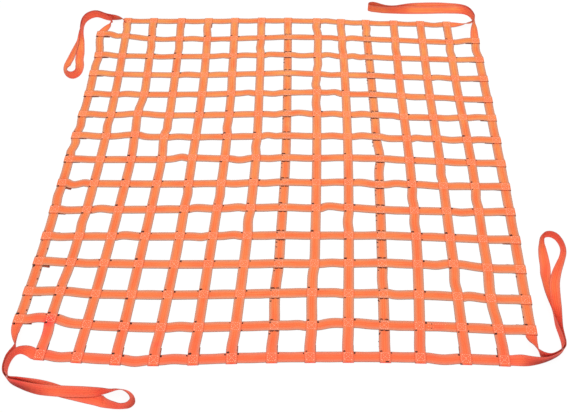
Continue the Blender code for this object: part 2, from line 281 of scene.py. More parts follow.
# Tails of the cross straps that lie askew beneath the side borders.
ASKEW = (
    Askew(Side.LEFT, 1, 1), Askew(Side.LEFT, 2, 1), Askew(Side.LEFT, 3, 2),
    Askew(Side.LEFT, 4, 1.5), Askew(Side.LEFT, 5, 2), Askew(Side.LEFT, 6, 1),
    Askew(Side.LEFT, 7, 2), Askew(Side.LEFT, 8, -14), Askew(Side.LEFT, 9, -3),
    Askew(Side.LEFT, 10, 0.5), Askew(Side.LEFT, 11, -6), Askew(Side.LEFT, 12, 1),
    Askew(Side.RIGHT, 1, -3), Askew(Side.RIGHT, 2, -3), Askew(Side.RIGHT, 3, -3),
    Askew(Side.RIGHT, 4, -2), Askew(Side.RIGHT, 5, -3), Askew(Side.RIGHT, 6, -3),
    Askew(Side.RIGHT, 7, -3), Askew(Side.RIGHT, 8, -3), Askew(Side.RIGHT, 9, -3),
    Askew(Side.RIGHT, 11, -3), Askew(Side.RIGHT, 12, -3), Askew(Side.RIGHT, 13, -3),
)

# Places painted with red shade, and less than 0 where a standing face takes less of that painted
# shade.
SHADE_RED_SPOTS = (
    Spot(-631, -612, 24, 0.95), Spot(-636, -642, 26, 0.6), Spot(-660, -603, 34, 0.45),
    Spot(-323, -673, 14, 0.5), Spot(-395, -590, 16, 0.25), Spot(-640, -470, 16, 0.3),
    Spot(430, -601, 26, 0.3), Spot(-560, -700, 50, 0.3), Spot(-620, -705, 50, 0.4),
    Spot(-670, -796, 44, 1.0), Spot(-615, -812, 40, 0.6), Spot(715, -692, 36, 0.95),
    Spot(665, -713, 30, 0.6), Spot(760, -640, 60, 0.6), Spot(325, 768, 95, -0.45),
    Spot(692, 655, 60, -0.5), Spot(800, -360, 40, -0.2),
)

# Low parts of the corner loops that lie in the shade.
SHADES = (
    Spot(-702, -779, 15, 0.6), Spot(-692, -788, 16, 0.95), Spot(-679, -796, 18, 1.0),
    Spot(-665, -802, 18, 1.0), Spot(-652, -807, 18, 0.95), Spot(-638, -812, 16, 0.85),
    Spot(-624, -816, 15, 0.7), Spot(-610, -819, 15, 0.5), Spot(-596, -821, 13, 0.3),
    Spot(-357, -834, 16, 0.6), Spot(-366, -847, 16, 0.5), Spot(652, -711, 16, 0.35),
    Spot(664, -709, 16, 0.5), Spot(676, -706, 18, 0.7), Spot(688, -702, 18, 0.85),
    Spot(700, -698, 18, 0.95), Spot(712, -693, 18, 0.95), Spot(724, -687, 16, 0.8),
    Spot(736, -679, 15, 0.55), Spot(-664, 709, 15, 0.8), Spot(-676, 707, 15, 0.6),
)

# Dark tacks of painted shade away from the usual places: along the side borders, by the splice
# and at the front.
SHADOW_MARKS = (
    Mark(-692, -368, 1, 4, 70), Mark(-690, -402, 1, 4, 70), Mark(-695, -443, 1, 4, 70),
    Mark(-697, -473, 1, 4, 70), Mark(-695, -507, 1, 7, 75), Mark(-700, -541, 1, 4, 70),
    Mark(-702, -575, 1, 4, 70), Mark(-703, -598, 1, 6, 75), Mark(-724, -505, 1, 12, 72),
    Mark(-720, -432, 1, 5, 70), Mark(670, -428, 1, 6, 80), Mark(665, -440, 1, 5, 80),
    Mark(664, -538, 1, 6, 80), Mark(663, -569, 1, 6, 80), Mark(661, -592, 1, 5, 80),
    Mark(691, -525, 1, 5, 80), Mark(415, -594, 0, 3, 90), Mark(413, -607, 0, 3, 90),
    Mark(272, -628, 0, 4, 80), Mark(270, -649, 0, 4, 80), Mark(270, -664, 0, 3, 80),
    Mark(274, -523, 0, 4, 80), Mark(291, -682, 1, 24, 0), Mark(289, -709, 2, 10, 0),
    Mark(480, -712, 2, 7, 0),
)

# Where the side borders' ends head off their own lines.
TURNED = (Turned(1, 0, -7), Turned(1, 14, -4))

# Each loop from the seam where it leaves the net to the seam where it returns.
FRONT_LEFT_LOOP = (
    Foot(-732, -623, 0, 2.3), Foot(-729, -640, 14, 2.3), Foot(-720, -662, 36, 0.6),
    Foot(-707, -682, 66), Foot(-701, -697, 86), Foot(-705, -708, 90), Foot(-711, -722, 90),
    Foot(-713, -739, 90), Foot(-712, -757, 90), Foot(-706, -773, 90), Foot(-692, -788, 86),
    Foot(-667, -801, 72), Foot(-638, -812, 58), Foot(-612, -819, 48, 0.8),
    Foot(-580, -823, 44, 2.6), Foot(-540, -825, 40, 3), Foot(-500, -825, 44, 3.2),
    Foot(-462, -822, 58, 3), Foot(-440, -814, 80, 2), Foot(-422, -806, 101), Foot(-404, -800, 110),
    Foot(-386, -801, 112), Foot(-370, -809, 112), Foot(-359, -823, 108), Foot(-357, -836, 104),
    Foot(-366, -847, 99), Foot(-384, -851, 95), Foot(-404, -852, 106), Foot(-420, -851, 116),
    Foot(-432, -850, 131), Foot(-442, -849, 155), Foot(-453, -846, 180), Foot(-487, -839, 180),
    Foot(-520, -832, 180), Foot(-552, -825, 180), Foot(-582, -817, 170), Foot(-612, -810, 150),
    Foot(-640, -802, 128), Foot(-668, -792, 108), Foot(-692, -782, 92), Foot(-703, -770, 90),
    Foot(-708, -755, 90), Foot(-708, -737, 90), Foot(-704, -721, 90), Foot(-698, -711, 90),
    Foot(-688, -706, 80), Foot(-675, -709, 54), Foot(-664, -715, 22, 0.9), Foot(-654, -721, 0, 2.3),
)

FRONT_RIGHT_LOOP = (
    Foot(613, -712, 0, 2.3), Foot(630, -712, 18, 1.0), Foot(652, -711, 50), Foot(676, -706, 74),
    Foot(700, -698, 88), Foot(724, -687, 90), Foot(740.6, -676, 90), Foot(751, -664.5, 90),
    Foot(754, -651, 90), Foot(754, -634, 90), Foot(752, -611, 94), Foot(749, -580, 108, 1.4),
    Foot(746, -545, 128, 2.6), Foot(747, -505, 140, 3.2), Foot(753, -460, 146, 3.6),
    Foot(769, -420, 138, 2.4), Foot(786, -390, 128, 0.6), Foot(801, -364, 114), Foot(808, -342, 98),
    Foot(806, -322, 92), Foot(797, -305, 90), Foot(784, -298, 90), Foot(771, -301, 96),
    Foot(767, -314, 120), Foot(768, -340, 150), Foot(769, -372, 172), Foot(768, -405, 178),
    Foot(764, -430, 176), Foot(757.5, -462, 154), Foot(752, -495, 138), Foot(748, -530, 121),
    Foot(747, -560, 108), Foot(746, -592, 97), Foot(749.4, -622, 93), Foot(751, -645, 90),
    Foot(748.8, -660, 90), Foot(739.2, -672.4, 90), Foot(724.4, -682.4, 90), Foot(709.6, -689, 93),
    Foot(698, -690.4, 98), Foot(691, -685.5, 94), Foot(689, -674, 70), Foot(689, -656, 44),
    Foot(689, -641, 20, 0.8), Foot(690, -628, 0, 2.3),
)

BACK_LEFT_LOOP = (
    Foot(-653, 711, 42, 1.4), Foot(-664, 709, 60, 0.4), Foot(-676, 707, 74), Foot(-693, 706, 84),
    Foot(-711, 709, 88), Foot(-728, 716, 90), Foot(-744, 724, 90), Foot(-761, 727, 90),
    Foot(-778, 721, 90), Foot(-792, 708, 90), Foot(-799, 692, 90), Foot(-802, 668, 90),
    Foot(-803, 640, 84), Foot(-805, 610, 70), Foot(-808, 580, 52), Foot(-813, 545, 34),
    Foot(-818, 510, 20), Foot(-822.5, 475, 12), Foot(-826, 445, 14), Foot(-823, 420, 24),
    Foot(-815, 400, 50), Foot(-803, 384, 74), Foot(-789, 374, 80), Foot(-775, 372, 80),
    Foot(-762, 380, 74), Foot(-753, 396, 58), Foot(-750, 418, 36), Foot(-752, 444, 14),
    Foot(-760, 475, 8), Foot(-764, 510, 12), Foot(-771, 545, 28), Foot(-779, 580, 50),
    Foot(-788, 610, 72), Foot(-795, 640, 86), Foot(-798, 670, 90), Foot(-795, 691, 90),
    Foot(-788, 705, 90), Foot(-776, 717, 90), Foot(-761, 723, 90), Foot(-746, 720, 90),
    Foot(-730, 712, 90), Foot(-713, 705, 92), Foot(-702, 702, 103), Foot(-693, 697, 97),
    Foot(-692, 692, 86), Foot(-699, 686, 56), Foot(-709, 677, 26, 0.6), Foot(-720, 662, 8, 1.6),
    Foot(-730, 644, 0, 2.3),
)

BACK_RIGHT_LOOP = (
    Foot(696, 604, 0, 2.3), Foot(697, 626, 12, 1.5), Foot(698, 655, 35, 0.3), Foot(696, 680, 62),
    Foot(691, 702, 86), Foot(686, 720, 90), Foot(678, 739, 92), Foot(662, 752, 104),
    Foot(640, 759, 118), Foot(605, 764, 132), Foot(565, 768, 134), Foot(525, 768, 134),
    Foot(484, 766, 130), Foot(450, 763, 118), Foot(420, 760, 103), Foot(391, 758, 93),
    Foot(365, 761, 90), Foot(342, 769, 90), Foot(322, 779, 90), Foot(306, 782, 90),
    Foot(295, 777, 90), Foot(293, 768, 90), Foot(302, 762, 90), Foot(322, 757, 90),
    Foot(350, 752, 88), Foot(388, 749, 82), Foot(420, 747, 68), Foot(449, 746, 48),
    Foot(484, 746, 34), Foot(525, 747, 28), Foot(568, 749, 28), Foot(605, 749, 34),
    Foot(638, 748, 50), Foot(658, 745, 72), Foot(673, 736, 88), Foot(682, 720, 90),
    Foot(686, 706, 90), Foot(684, 695, 80), Foot(673, 689, 58), Foot(656, 689, 40),
    Foot(638, 690, 22, 0.6), Foot(618, 692, 6, 1.9), Foot(605, 693, 0, 2.3),
)


def flat(vector: Vector) -> Vector:
    """Give the vector's direction in plan."""
    return Vector((vector.x, vector.y, 0.0)).normalized()


def leftward(run: Vector) -> Vector:
    """Give the direction to the left of a level run."""
    return UP.cross(run)


def turned(vector: Vector, degrees: float) -> Vector:
    """Give the vector turned about the vertical."""
    return Quaternion(UP, math.radians(degrees)) @ vector


def spin(degrees: float) -> Matrix:
    """Give a turn about the vertical as a matrix."""
    return Matrix.Rotation(math.radians(degrees), 4, "Z")


def seeded(draw: Draw, *key: int) -> random.Random:
    """Give the random stream of a draw, always the same for the same key."""
    parts = (*key, draw.value)
    return random.Random(sum(part * SEED_BASE ** place for place, part in enumerate(parts, 1)))


def bows(table: Sequence[Bulge], strap: int, cell: int) -> List[Bulge]:
    """List a strap's bows in one cell."""
    return [bulge for bulge in table if (bulge.strap, bulge.cell) == (strap, cell)]


def hermite(start: Any, out: Any, end: Any, into: Any, t: Any) -> Any:
    """Give a point on the curve that leaves one place and enters another with set slopes.

    Args:
        start: The first place, as a number, a vector or an array.
        out: The slope there, for t from 0 to 1.
        end: The second place.
        into: The slope there.
        t: Share of the way from the first place to the second.

    Returns:
        The point, of the same kind as the places.
    """
    square, cube = t * t, t * t * t
    return (start * (2 * cube - 3 * square + 1) + out * (cube - 2 * square + t)
            + end * (3 * square - 2 * cube) + into * (cube - square))


@dataclass(frozen=True)
class Webbing:
    """The webbing that every strap is cut from.

    Attributes:
        width: Full width in metres.
        thickness: Thickness of the cloth in metres.
        lowest: Height of the middle of a strap that lies on the floor.
        layer: Height from one layer of webbing to the next.
        ribs: Number of lengthwise ribs.
        groove_depth: Depth of the grooves between the ribs.
        groove_half: Half the width of a groove, as a share of half the webbing's width.
        plain: Where the flat of a face without grooves ends, as a share of that half.
    """

    width: float = 0.030
    thickness: float = 0.0018
    lowest: float = 0.001
    layer: float = 0.0023
    ribs: int = 5
    groove_depth: float = 0.00028
    groove_half: float = 0.045
    plain: float = 0.6

    # Points of the rounded edge: place across and height, as shares of half the size each way.
    EDGE: ClassVar = ((0.992, 0.55), (0.965, 0.92))

    @property
    def half(self) -> float:
        """Half the width."""
        return self.width / 2

    def level(self, layer: int) -> float:
        """Height of the middle of a strap in the given layer."""
        return self.lowest + layer * self.layer

    def face(self, ribbed: bool) -> List[Tuple[float, float]]:
        """List one face's outline from the left edge to the right.

        Args:
            ribbed: Whether the face shows its grooves.

        Returns:
            Pairs of the place across (-1 to 1) and the height off the middle, in metres.
        """
        high = self.thickness / 2
        points = [(-place, high * share) for place, share in self.EDGE]
        if ribbed:
            for number in range(1, self.ribs):
                groove = 2 * number / self.ribs - 1
                points.append((groove - self.groove_half, high))
                points.append((groove, high - self.groove_depth))
                points.append((groove + self.groove_half, high))
        else:
            points += [(-self.plain, high), (self.plain, high)]
        return points + [(place, high * share) for place, share in reversed(self.EDGE)]

    def outline(self, ribbed_below: bool) -> List[Tuple[float, float]]:
        """List the whole cross-section, over the top from the left and back beneath."""
        top = self.face(True)
        below = [(place, -height) for place, height in reversed(self.face(ribbed_below))]
        return [(-1.0, 0.0)] + top + [(1.0, 0.0)] + below


@dataclass(frozen=True)
class NetPlan:
    """Where the straps cross, with all their unevenness.

    Attributes:
        pitch: Centre to centre of two straps, in metres.
        cells: Openings along each side.
        under_columns: Length straps that pass under the cross straps.
        set_back: How far the cross straps' middles lie behind their plain lines, in metres.
        butt: Half the gap between a border strap and the loop that goes on from it.
        web: The webbing.
    """

    pitch: float = 0.100
    cells: int = 14
    under_columns: Tuple[int, ...] = (7, 10)
    set_back: float = 0.0009
    butt: float = 0.00015
    web: Webbing = Webbing()

    def stray_at(self, stray: Stray, place: float) -> float:
        """Read a strap's sideways shift off a smooth curve through its five values.

        Args:
            stray: The five values.
            place: Place along the strap, from 0 to the number of cells.

        Returns:
            The shift in metres.
        """
        span = self.cells / (len(stray) - 1)
        index = min(int(place / span), len(stray) - 2)
        t = place / span - index
        before = stray[index - 1] if index > 0 else 2 * stray[0] - stray[1]
        after = stray[index + 2] if index + 2 < len(stray) else 2 * stray[-1] - stray[-2]
        slope_in = (stray[index + 1] - before) / 2
        slope_out = (after - stray[index]) / 2
        return hermite(stray[index], slope_in, stray[index + 1], slope_out, t) * MM

    def crossing(self, row: int, column: int) -> Vector:
        """Give the middle of a crossing; z is its rise off the floor.

        Args:
            row: Row of the crossing, from 0 at the back.
            column: Column of the crossing, from 0 at the left.

        Returns:
            The middle.
        """
        middle = self.cells // 2
        x = (column - middle) * self.pitch + self.stray_at(LENGTH_STRAY[column], row)
        y = (middle - row) * self.pitch + self.stray_at(CROSS_STRAY[row], column)
        place = Vector((x, y, 0.0))
        if 0 < row < self.cells:
            place.y += self.set_back
        for push in PUSHED:
            if (push.row, push.column) == (row, column):
                place += Vector((push.right, push.back, push.rise)) * MM
        return place

    def border_run(self, row: int, column: int) -> Vector:
        """Give a border strap's heading at a crossing, from left to right or from back to front.

        Args:
            row: Row of the crossing, from 0 at the back.
            column: Column of the crossing, from 0 at the left.

        Returns:
            A level direction.
        """
        last = self.cells - 1
        before = [min(max(place - 1, 1), last) for place in (row, column)]
        after = [min(max(place + 1, 1), last) for place in (row, column)]
        if column in (0, self.cells):
            run = flat(self.crossing(after[0], column) - self.crossing(before[0], column))
        else:
            run = flat(self.crossing(row, after[1]) - self.crossing(row, before[1]))
        turn = sum(place.degrees for place in TURNED if (place.row, place.column) == (row, column))
        return turned(run, turn)

    def border_out(self, row: int, column: int) -> Vector:
        """Give the direction square to a border strap at a crossing, away from the net."""
        left = leftward(self.border_run(row, column))
        return left if row == 0 or column == self.cells else -left

    def length_run(self, row: int, column: int) -> Vector:
        """Give a length strap's heading at a crossing, from back to front.

        Args:
            row: Row of the crossing, from 0 at the back.
            column: Column of the crossing, from 0 at the left.

        Returns:
            A level direction.
        """
        if row in (0, self.cells):
            out = self.border_out(row, column)
            return out if row else -out
        return flat(self.crossing(row + 1, column) - self.crossing(row - 1, column))

    def cross_run(self, row: int, column: int) -> Vector:
        """Give a cross strap's heading at a crossing, from left to right.

        Args:
            row: Row of the crossing, from 0 at the back.
            column: Column of the crossing, from 0 at the left.

        Returns:
            A level direction.
        """
        if column in (0, self.cells):
            out = self.border_out(row, column)
            return out if column else -out
        return flat(self.crossing(row, column + 1) - self.crossing(row, column - 1))

    def length_on_top(self, row: int, column: int) -> bool:
        """Tell whether the length strap is the upper one at a crossing.

        Args:
            row: Row of the crossing, from 0 at the back.
            column: Column of the crossing, from 0 at the left.

        Returns:
            Whether it is.
        """
        if row in (0, self.cells):
            return True
        if column in (0, self.cells):
            return False
        return column not in self.under_columns

    def top_layer(self, row: int, column: int) -> int:
        """Give the layer of the upper strap at a crossing."""
        return 2 if row in (0, self.cells) or column in (0, self.cells) else 1


@dataclass(frozen=True)
class WebbingFinish:
    """Look of dyed woven webbing.

    Attributes:
        name: Name of the finish.
        body: Colour of the webbing at the front of the net.
        faded: Its colour at the back, a little yellower.
        deep: Colour of its denser streaks, and painted shade in its grooves.
        pale: Painted highlight on the crowns of its yarns.
        dull: Painted shade in the bands beside its edges.
        selvedge: Painted shade along its very edges.
        standing: How much of the flushed colour, painted red shade, its standing faces take.
        sewn: Colour of its sewn places.
        flushed: Painted red shade of the standing faces and the shaded spots; the front edge takes
            it too.
        shaded: Painted shade on the cut ends tucked beneath the net and on the loops' shaded parts.
        roughness: Roughness of the yarn.
        specular: Strength of its gloss.
        sheen: Strength of the sheen of its fibres.
        sheen_roughness: Roughness of that sheen.
        relief: Strength of the weave's relief.
        relief_depth: Depth of the weave, in metres.
    """

    name: str
    body: Colour
    faded: Colour
    deep: Colour
    pale: Colour
    dull: Colour
    selvedge: Colour
    standing: float
    sewn: Colour = (0.84, 0.180, 0.095, 1.0)
    flushed: Colour = (0.80, 0.050, 0.045, 1.0)
    shaded: Colour = (0.22, 0.018, 0.013, 1.0)
    roughness: float = 0.62
    specular: float = 0.14
    sheen: float = 0.03
    sheen_roughness: float = 0.45
    relief: float = 0.6
    relief_depth: float = 0.00025

    def material(self) -> bpy.types.Material:
        """Make the finish as a material.

        Returns:
            The material.
        """
        graph = Graph.for_material(self.name)
        cloth = graph.group(WovenCloth.tree())
        for socket in WovenCloth.COLOURS + WovenCloth.NUMBERS:
            cloth.inputs[socket].default_value = getattr(self, socket.lower())
        sockets = {
            "Base Color": cloth.outputs["Colour"],
            "Roughness": cloth.outputs["Roughness"],
            "Specular IOR Level": self.specular,
            "Sheen Weight": self.sheen,
            "Sheen Roughness": self.sheen_roughness,
        }
        return graph.dress(sockets, cloth.outputs["Height"], self.relief, self.relief_depth)


@dataclass(frozen=True)
class ThreadFinish:
    """Look of sewing thread.

    Attributes:
        name: Name of the finish.
        light: Painted highlight on the crown of the thread.
        dark: Painted shade in its twist.
        roughness: Roughness of the thread.
        specular: Strength of its gloss.
        twist: Fineness of its twist.
        relief: Strength of the twist's relief.
        relief_depth: Depth of the twist, in metres.
    """

    name: str
    light: Colour
    dark: Colour
    roughness: float = 0.5
    specular: float = 0.35
    twist: float = 900.0
    relief: float = 0.4
    relief_depth: float = 0.0001

    def material(self) -> bpy.types.Material:
        """Make the finish as a material.

        Returns:
            The material.
        """
        graph = Graph.for_material(self.name)
        place = graph.node("ShaderNodeTexCoord").outputs["Object"]
        # Painted highlight on the thread's crowns and painted shade in its twist, following its
        # relief.
        noise = graph.noise(place, self.twist, 2.0)
        sockets = {
            "Base Color": graph.mix(noise, self.dark, self.light),
            "Roughness": self.roughness,
            "Specular IOR Level": self.specular,
        }
        return graph.dress(sockets, noise, self.relief, self.relief_depth)


@dataclass(frozen=True)
class FloorFinish:
    """Look of the pale studio floor.

    Attributes:
        name: Name of the finish.
        colour: Colour that takes the light.
        glow: Strength of its own even white, which keeps it pale all over.
        roughness: Roughness of the floor.
    """

    name: str = "pale_floor"
    colour: Colour = (0.06, 0.06, 0.06, 1.0)
    glow: float = 0.94
    roughness: float = 0.9

    def material(self) -> bpy.types.Material:
        """Make the finish as a material.

        Returns:
            The material.
        """
        graph = Graph.for_material(self.name)
        graph.fill({
            "Base Color": self.colour,
            "Roughness": self.roughness,
            "Specular IOR Level": 0.0,
            "Emission Color": (1.0, 1.0, 1.0, 1.0),
            "Emission Strength": self.glow,
        })
        return graph.owner


class Graph:
    """A node tree with short ways to add to it."""

    # Sockets of a Mix node that mixes colours.
    MIX_FACTOR, MIX_FIRST, MIX_SECOND, MIX_RESULT = 0, 6, 7, 2

    def __init__(self, owner: Any, tree: bpy.types.NodeTree) -> None:
        """Keep the tree and what it belongs to."""
        self.owner = owner
        self.tree = tree

    @classmethod
    def for_material(cls, name: str) -> "Graph":
        """Start the graph of a new material."""
        material = bpy.data.materials.new(name)
        material.use_nodes = True
        return cls(material, material.node_tree)

    def fill(self, sockets: Dict[str, Any]) -> bpy.types.Node:
        """Give the surface shader its inputs, by name, as plain values or sockets.

        Args:
            sockets: Plain values or sockets, by the name of the input.

        Returns:
            The shader.
        """
        shader = self.tree.nodes["Principled BSDF"]
        for name, value in sockets.items():
            self.feed(value, shader.inputs[name])
        return shader

    def dress(self, sockets: Dict[str, Any], height: Socket, strength: float,
              depth: float) -> bpy.types.Material:
        """Fill the surface shader and give it a relief.

        Args:
            sockets: The shader's inputs by name.
            height: Height of the surface, from 0 to 1.
            strength: Strength of the relief.
            depth: Depth of the relief, in metres.

        Returns:
            The material.
        """
        shader = self.fill(sockets)
        bump = self.node("ShaderNodeBump")
        self.feed(strength, bump.inputs["Strength"])
        self.feed(depth, bump.inputs["Distance"])
        self.link(height, bump.inputs["Height"])
        self.link(bump.outputs["Normal"], shader.inputs["Normal"])
        return self.owner

    def node(self, kind: str, **settings: Any) -> bpy.types.Node:
        """Add a node.

        Args:
            kind: The node's type name.
            settings: Properties to set on it.

        Returns:
            The node.
        """
        node = self.tree.nodes.new(kind)
        for name, value in settings.items():
            setattr(node, name, value)
        return node

    def group(self, tree: bpy.types.NodeTree) -> bpy.types.Node:
        """Add a node group."""
        node = self.node("ShaderNodeGroup")
        node.node_tree = tree
        return node

    def link(self, out: Socket, into: Socket) -> None:
        """Join two sockets."""
        self.tree.links.new(out, into)

    def feed(self, value: Any, into: Socket) -> None:
        """Join a socket, or set a plain value.

        Args:
            value: The socket or value.
            into: The socket that takes it.
        """
        if isinstance(value, Socket):
            self.link(value, into)
        else:
            into.default_value = value

    def attribute(self, name: str) -> Socket:
        """Read a number that the mesh carries."""
        return self.node("ShaderNodeAttribute", attribute_name=name).outputs["Fac"]

    def part(self, vector: Socket, axis: str) -> Socket:
        """Read one part of a vector: X, Y or Z."""
        node = self.node("ShaderNodeSeparateXYZ")
        self.link(vector, node.inputs[0])
        return node.outputs[axis]

    def math(self, operation: str, first: Any, second: Any = 0.0) -> Socket:
        """Add a sum on one or two values.

        Args:
            operation: The sum's name in Blender.
            first: First value or socket.
            second: Second value or socket.

        Returns:
            The result.
        """
        node = self.node("ShaderNodeMath", operation=operation)
        self.feed(first, node.inputs[0])
        self.feed(second, node.inputs[1])
        return node.outputs[0]

    def times(self, first: Any, second: Any) -> Socket:
        """Multiply two values."""
        return self.math("MULTIPLY", first, second)

    def plus(self, first: Any, second: Any) -> Socket:
        """Add two values."""
        return self.math("ADD", first, second)

    def rest(self, value: Any) -> Socket:
        """Take a value from 1."""
        return self.math("SUBTRACT", 1.0, value)

    def ramp(self, value: Any, low: float, high: float, to_low: float = 0.0,
             to_high: float = 1.0) -> Socket:
        """Map a value smoothly from one range to another.

        Args:
            value: The socket or value.
            low: Value where the ramp starts.
            high: Value where it ends.
            to_low: What it gives at its start.
            to_high: What it gives at its end.

        Returns:
            The mapped value.
        """
        node = self.node("ShaderNodeMapRange", interpolation_type="SMOOTHSTEP")
        self.feed(value, node.inputs["Value"])
        for name, number in (("From Min", low), ("From Max", high),
                             ("To Min", to_low), ("To Max", to_high)):
            node.inputs[name].default_value = number
        return node.outputs["Result"]

    def noise(self, vector: Any, scale: float, detail: float) -> Socket:
        """Add a noise that varies over the given coordinates.

        Args:
            vector: The coordinates.
            scale: Fineness of the noise.
            detail: How many finer layers it has.

        Returns:
            The noise.
        """
        node = self.node("ShaderNodeTexNoise")
        self.link(vector, node.inputs["Vector"])
        node.inputs["Scale"].default_value = scale
        node.inputs["Detail"].default_value = detail
        return node.outputs["Fac"]

    def mix(self, factor: Any, first: Any, second: Any) -> Socket:
        """Mix two colours.

        Args:
            factor: Share of the second colour.
            first: First value or socket.
            second: Second value or socket.

        Returns:
            The colour.
        """
        node = self.node("ShaderNodeMix", data_type="RGBA")
        self.feed(factor, node.inputs[self.MIX_FACTOR])
        self.feed(first, node.inputs[self.MIX_FIRST])
        self.feed(second, node.inputs[self.MIX_SECOND])
        return node.outputs[self.MIX_RESULT]


class WovenCloth:
    """The weave that all the webbing shares, as a node group.

    It reads the strap's own UV map, whose u runs across the webbing and whose v runs along it in
    widths, and four attributes: how sewn the place is, how much painted shade it takes, how much of
    the flushed colour it takes, which is painted red shade and redder towards the front edge, and
    the strap's own tone. Ranges run from where an effect starts to where it is full.
    """

    NAME = "woven_cloth"
    COLOURS = ("Body", "Faded", "Deep", "Pale", "Sewn", "Flushed", "Dull", "Selvedge", "Shaded")
    NUMBERS = ("Standing", "Roughness")
    WARP_YARNS = 30.0
    WEFT_YARNS = 22.0
    TWILL_STEP = 0.5
    FLOAT_DIP = 0.3
    RIBS = float(Webbing.ribs)
    GROOVE_RANGE = (0.3, 0.48)
    STREAK_LANES = 9.0
    STREAK_RUN = 0.35
    STREAK_SPREAD = 40.0
    BLOTCH_SCALE = 14.0
    DETAIL = 3.0
    MOTTLE_RANGE = (0.38, 0.66)
    STREAK_DEPTH = 0.42
    BLOTCH_DEPTH = 0.34
    GROOVE_SHADE_DEPTH = 0.5
    TONE_DEPTH = 0.24
    BACK_TINT_RANGE = (-0.6, 0.7)
    STANDING_RANGE = (0.86, 0.25)
    BAND_RANGE = (0.38, 0.04)
    BAND_SHADE_DEPTH = 0.95
    RIM_SHADE_RANGE = (0.036, 0.004)
    SEWN_EDGE = 0.85
    SEWN_DEPTH = 0.35
    CROWN_RANGE = (0.5, 1.0)
    CROWN_HIGHLIGHT_DEPTH = 0.12
    PAINTED_SHADE_DEPTH = 0.9
    GAP_ROUGHER = 0.1
    CROWN_SMOOTHER = -0.06

    @classmethod
    def tree(cls) -> bpy.types.NodeTree:
        """Give the group, built on its first use.

        Returns:
            The group's tree.
        """
        if cls.NAME in bpy.data.node_groups:
            return bpy.data.node_groups[cls.NAME]
        tree = bpy.data.node_groups.new(cls.NAME, "ShaderNodeTree")
        for way, kind, names in (("INPUT", "Color", cls.COLOURS), ("INPUT", "Float", cls.NUMBERS),
                                 ("OUTPUT", "Color", ("Colour",)),
                                 ("OUTPUT", "Float", ("Roughness", "Height"))):
            for name in names:
                tree.interface.new_socket(name, in_out=way, socket_type=f"NodeSocket{kind}")
        graph = Graph(tree, tree)
        given = graph.node("NodeGroupInput").outputs
        put = graph.node("NodeGroupOutput").inputs

        strap = graph.node("ShaderNodeUVMap", uv_map="strap").outputs["UV"]
        across, along = graph.part(strap, "X"), graph.part(strap, "Y")
        yarn = cls.yarn(graph, across, along)
        rougher = graph.ramp(yarn, 0.0, 1.0, cls.GAP_ROUGHER, cls.CROWN_SMOOTHER)
        graph.link(cls.colour(graph, given, across, along, yarn), put["Colour"])
        graph.link(graph.plus(given["Roughness"], rougher), put["Roughness"])
        graph.link(yarn, put["Height"])
        return tree

    @classmethod
    def colour(cls, graph: Graph, given: Any, across: Socket,
               along: Socket, yarn: Socket) -> Socket:
        """Mix the dye and its streaks with the painted shade of the grooves, the bands, the edges
        and the tails, the painted highlight of the yarn crowns, the sewn places and the painted red
        shade.

        Args:
            graph: Where the nodes go.
            given: The group's inputs.
            across: Place across the strap.
            along: Place along the strap.
            yarn: Height of the yarn.

        Returns:
            The colour.
        """
        place = graph.node("ShaderNodeTexCoord").outputs["Object"]
        toward_back = graph.ramp(graph.part(place, "Y"), *cls.BACK_TINT_RANGE)
        colour = graph.mix(toward_back, given["Body"], given["Faded"])
        streaks = cls.streaks(graph, across, along)
        blotches = graph.noise(place, cls.BLOTCH_SCALE, cls.DETAIL)
        depth = graph.times(graph.attribute("tone"), cls.TONE_DEPTH)
        # Streaks, blotches and tone are the dye's own unevenness; the grooves' deep colour is
        # painted shade.
        for mark, most in (
                (graph.ramp(streaks, *cls.MOTTLE_RANGE), cls.STREAK_DEPTH),
                (graph.ramp(blotches, *cls.MOTTLE_RANGE), cls.BLOTCH_DEPTH),
                (cls.groove(graph, across), cls.GROOVE_SHADE_DEPTH)):
            depth = graph.plus(depth, graph.times(mark, most))
        colour = graph.mix(graph.math("MINIMUM", depth, 1.0), colour, given["Deep"])

        edge = graph.math("MINIMUM", across, graph.rest(across))
        sewn = graph.attribute("sewn")
        open_edge = graph.rest(graph.times(sewn, cls.SEWN_EDGE))
        # Painted shade: the bands beside the edges darken, less where the webbing is sewn.
        band = graph.times(graph.ramp(edge, *cls.BAND_RANGE), cls.BAND_SHADE_DEPTH)
        colour = graph.mix(graph.times(band, open_edge), colour, given["Dull"])
        # Painted highlight: the crowns of the yarns turn paler.
        crown = graph.times(graph.ramp(yarn, *cls.CROWN_RANGE), cls.CROWN_HIGHLIGHT_DEPTH)
        colour = graph.mix(crown, colour, given["Pale"])
        colour = graph.mix(graph.times(sewn, cls.SEWN_DEPTH), colour, given["Sewn"])
        # Painted red shade on standing faces and spots, and the same red towards the front edge.
        colour = graph.mix(cls.flush(graph, given["Standing"]), colour, given["Flushed"])
        # Painted shade along the very edges, less where the webbing is sewn.
        rim = graph.times(graph.ramp(edge, *cls.RIM_SHADE_RANGE), open_edge)
        colour = graph.mix(rim, colour, given["Selvedge"])
        # Painted shade on the tucked-under tails and on the loops' low parts.
        hidden = graph.times(graph.attribute("hidden"), cls.PAINTED_SHADE_DEPTH)
        return graph.mix(hidden, colour, given["Shaded"])

    @classmethod
    def flush(cls, graph: Graph, most: Socket) -> Socket:
        """Paint red shade on the standing faces and the spots; a spot below 0 takes it off them.

        Args:
            graph: Where the nodes go.
            most: How much painted red shade a standing face gets.

        Returns:
            How red the cloth is.
        """
        normal = graph.node("ShaderNodeNewGeometry").outputs["Normal"]
        lying = graph.math("ABSOLUTE", graph.part(normal, "Z"))
        standing = graph.times(graph.ramp(lying, *cls.STANDING_RANGE), most)
        spots = graph.attribute("flush")
        standing = graph.plus(standing, graph.math("MINIMUM", spots, 0.0))
        return graph.math("MAXIMUM", spots, standing)

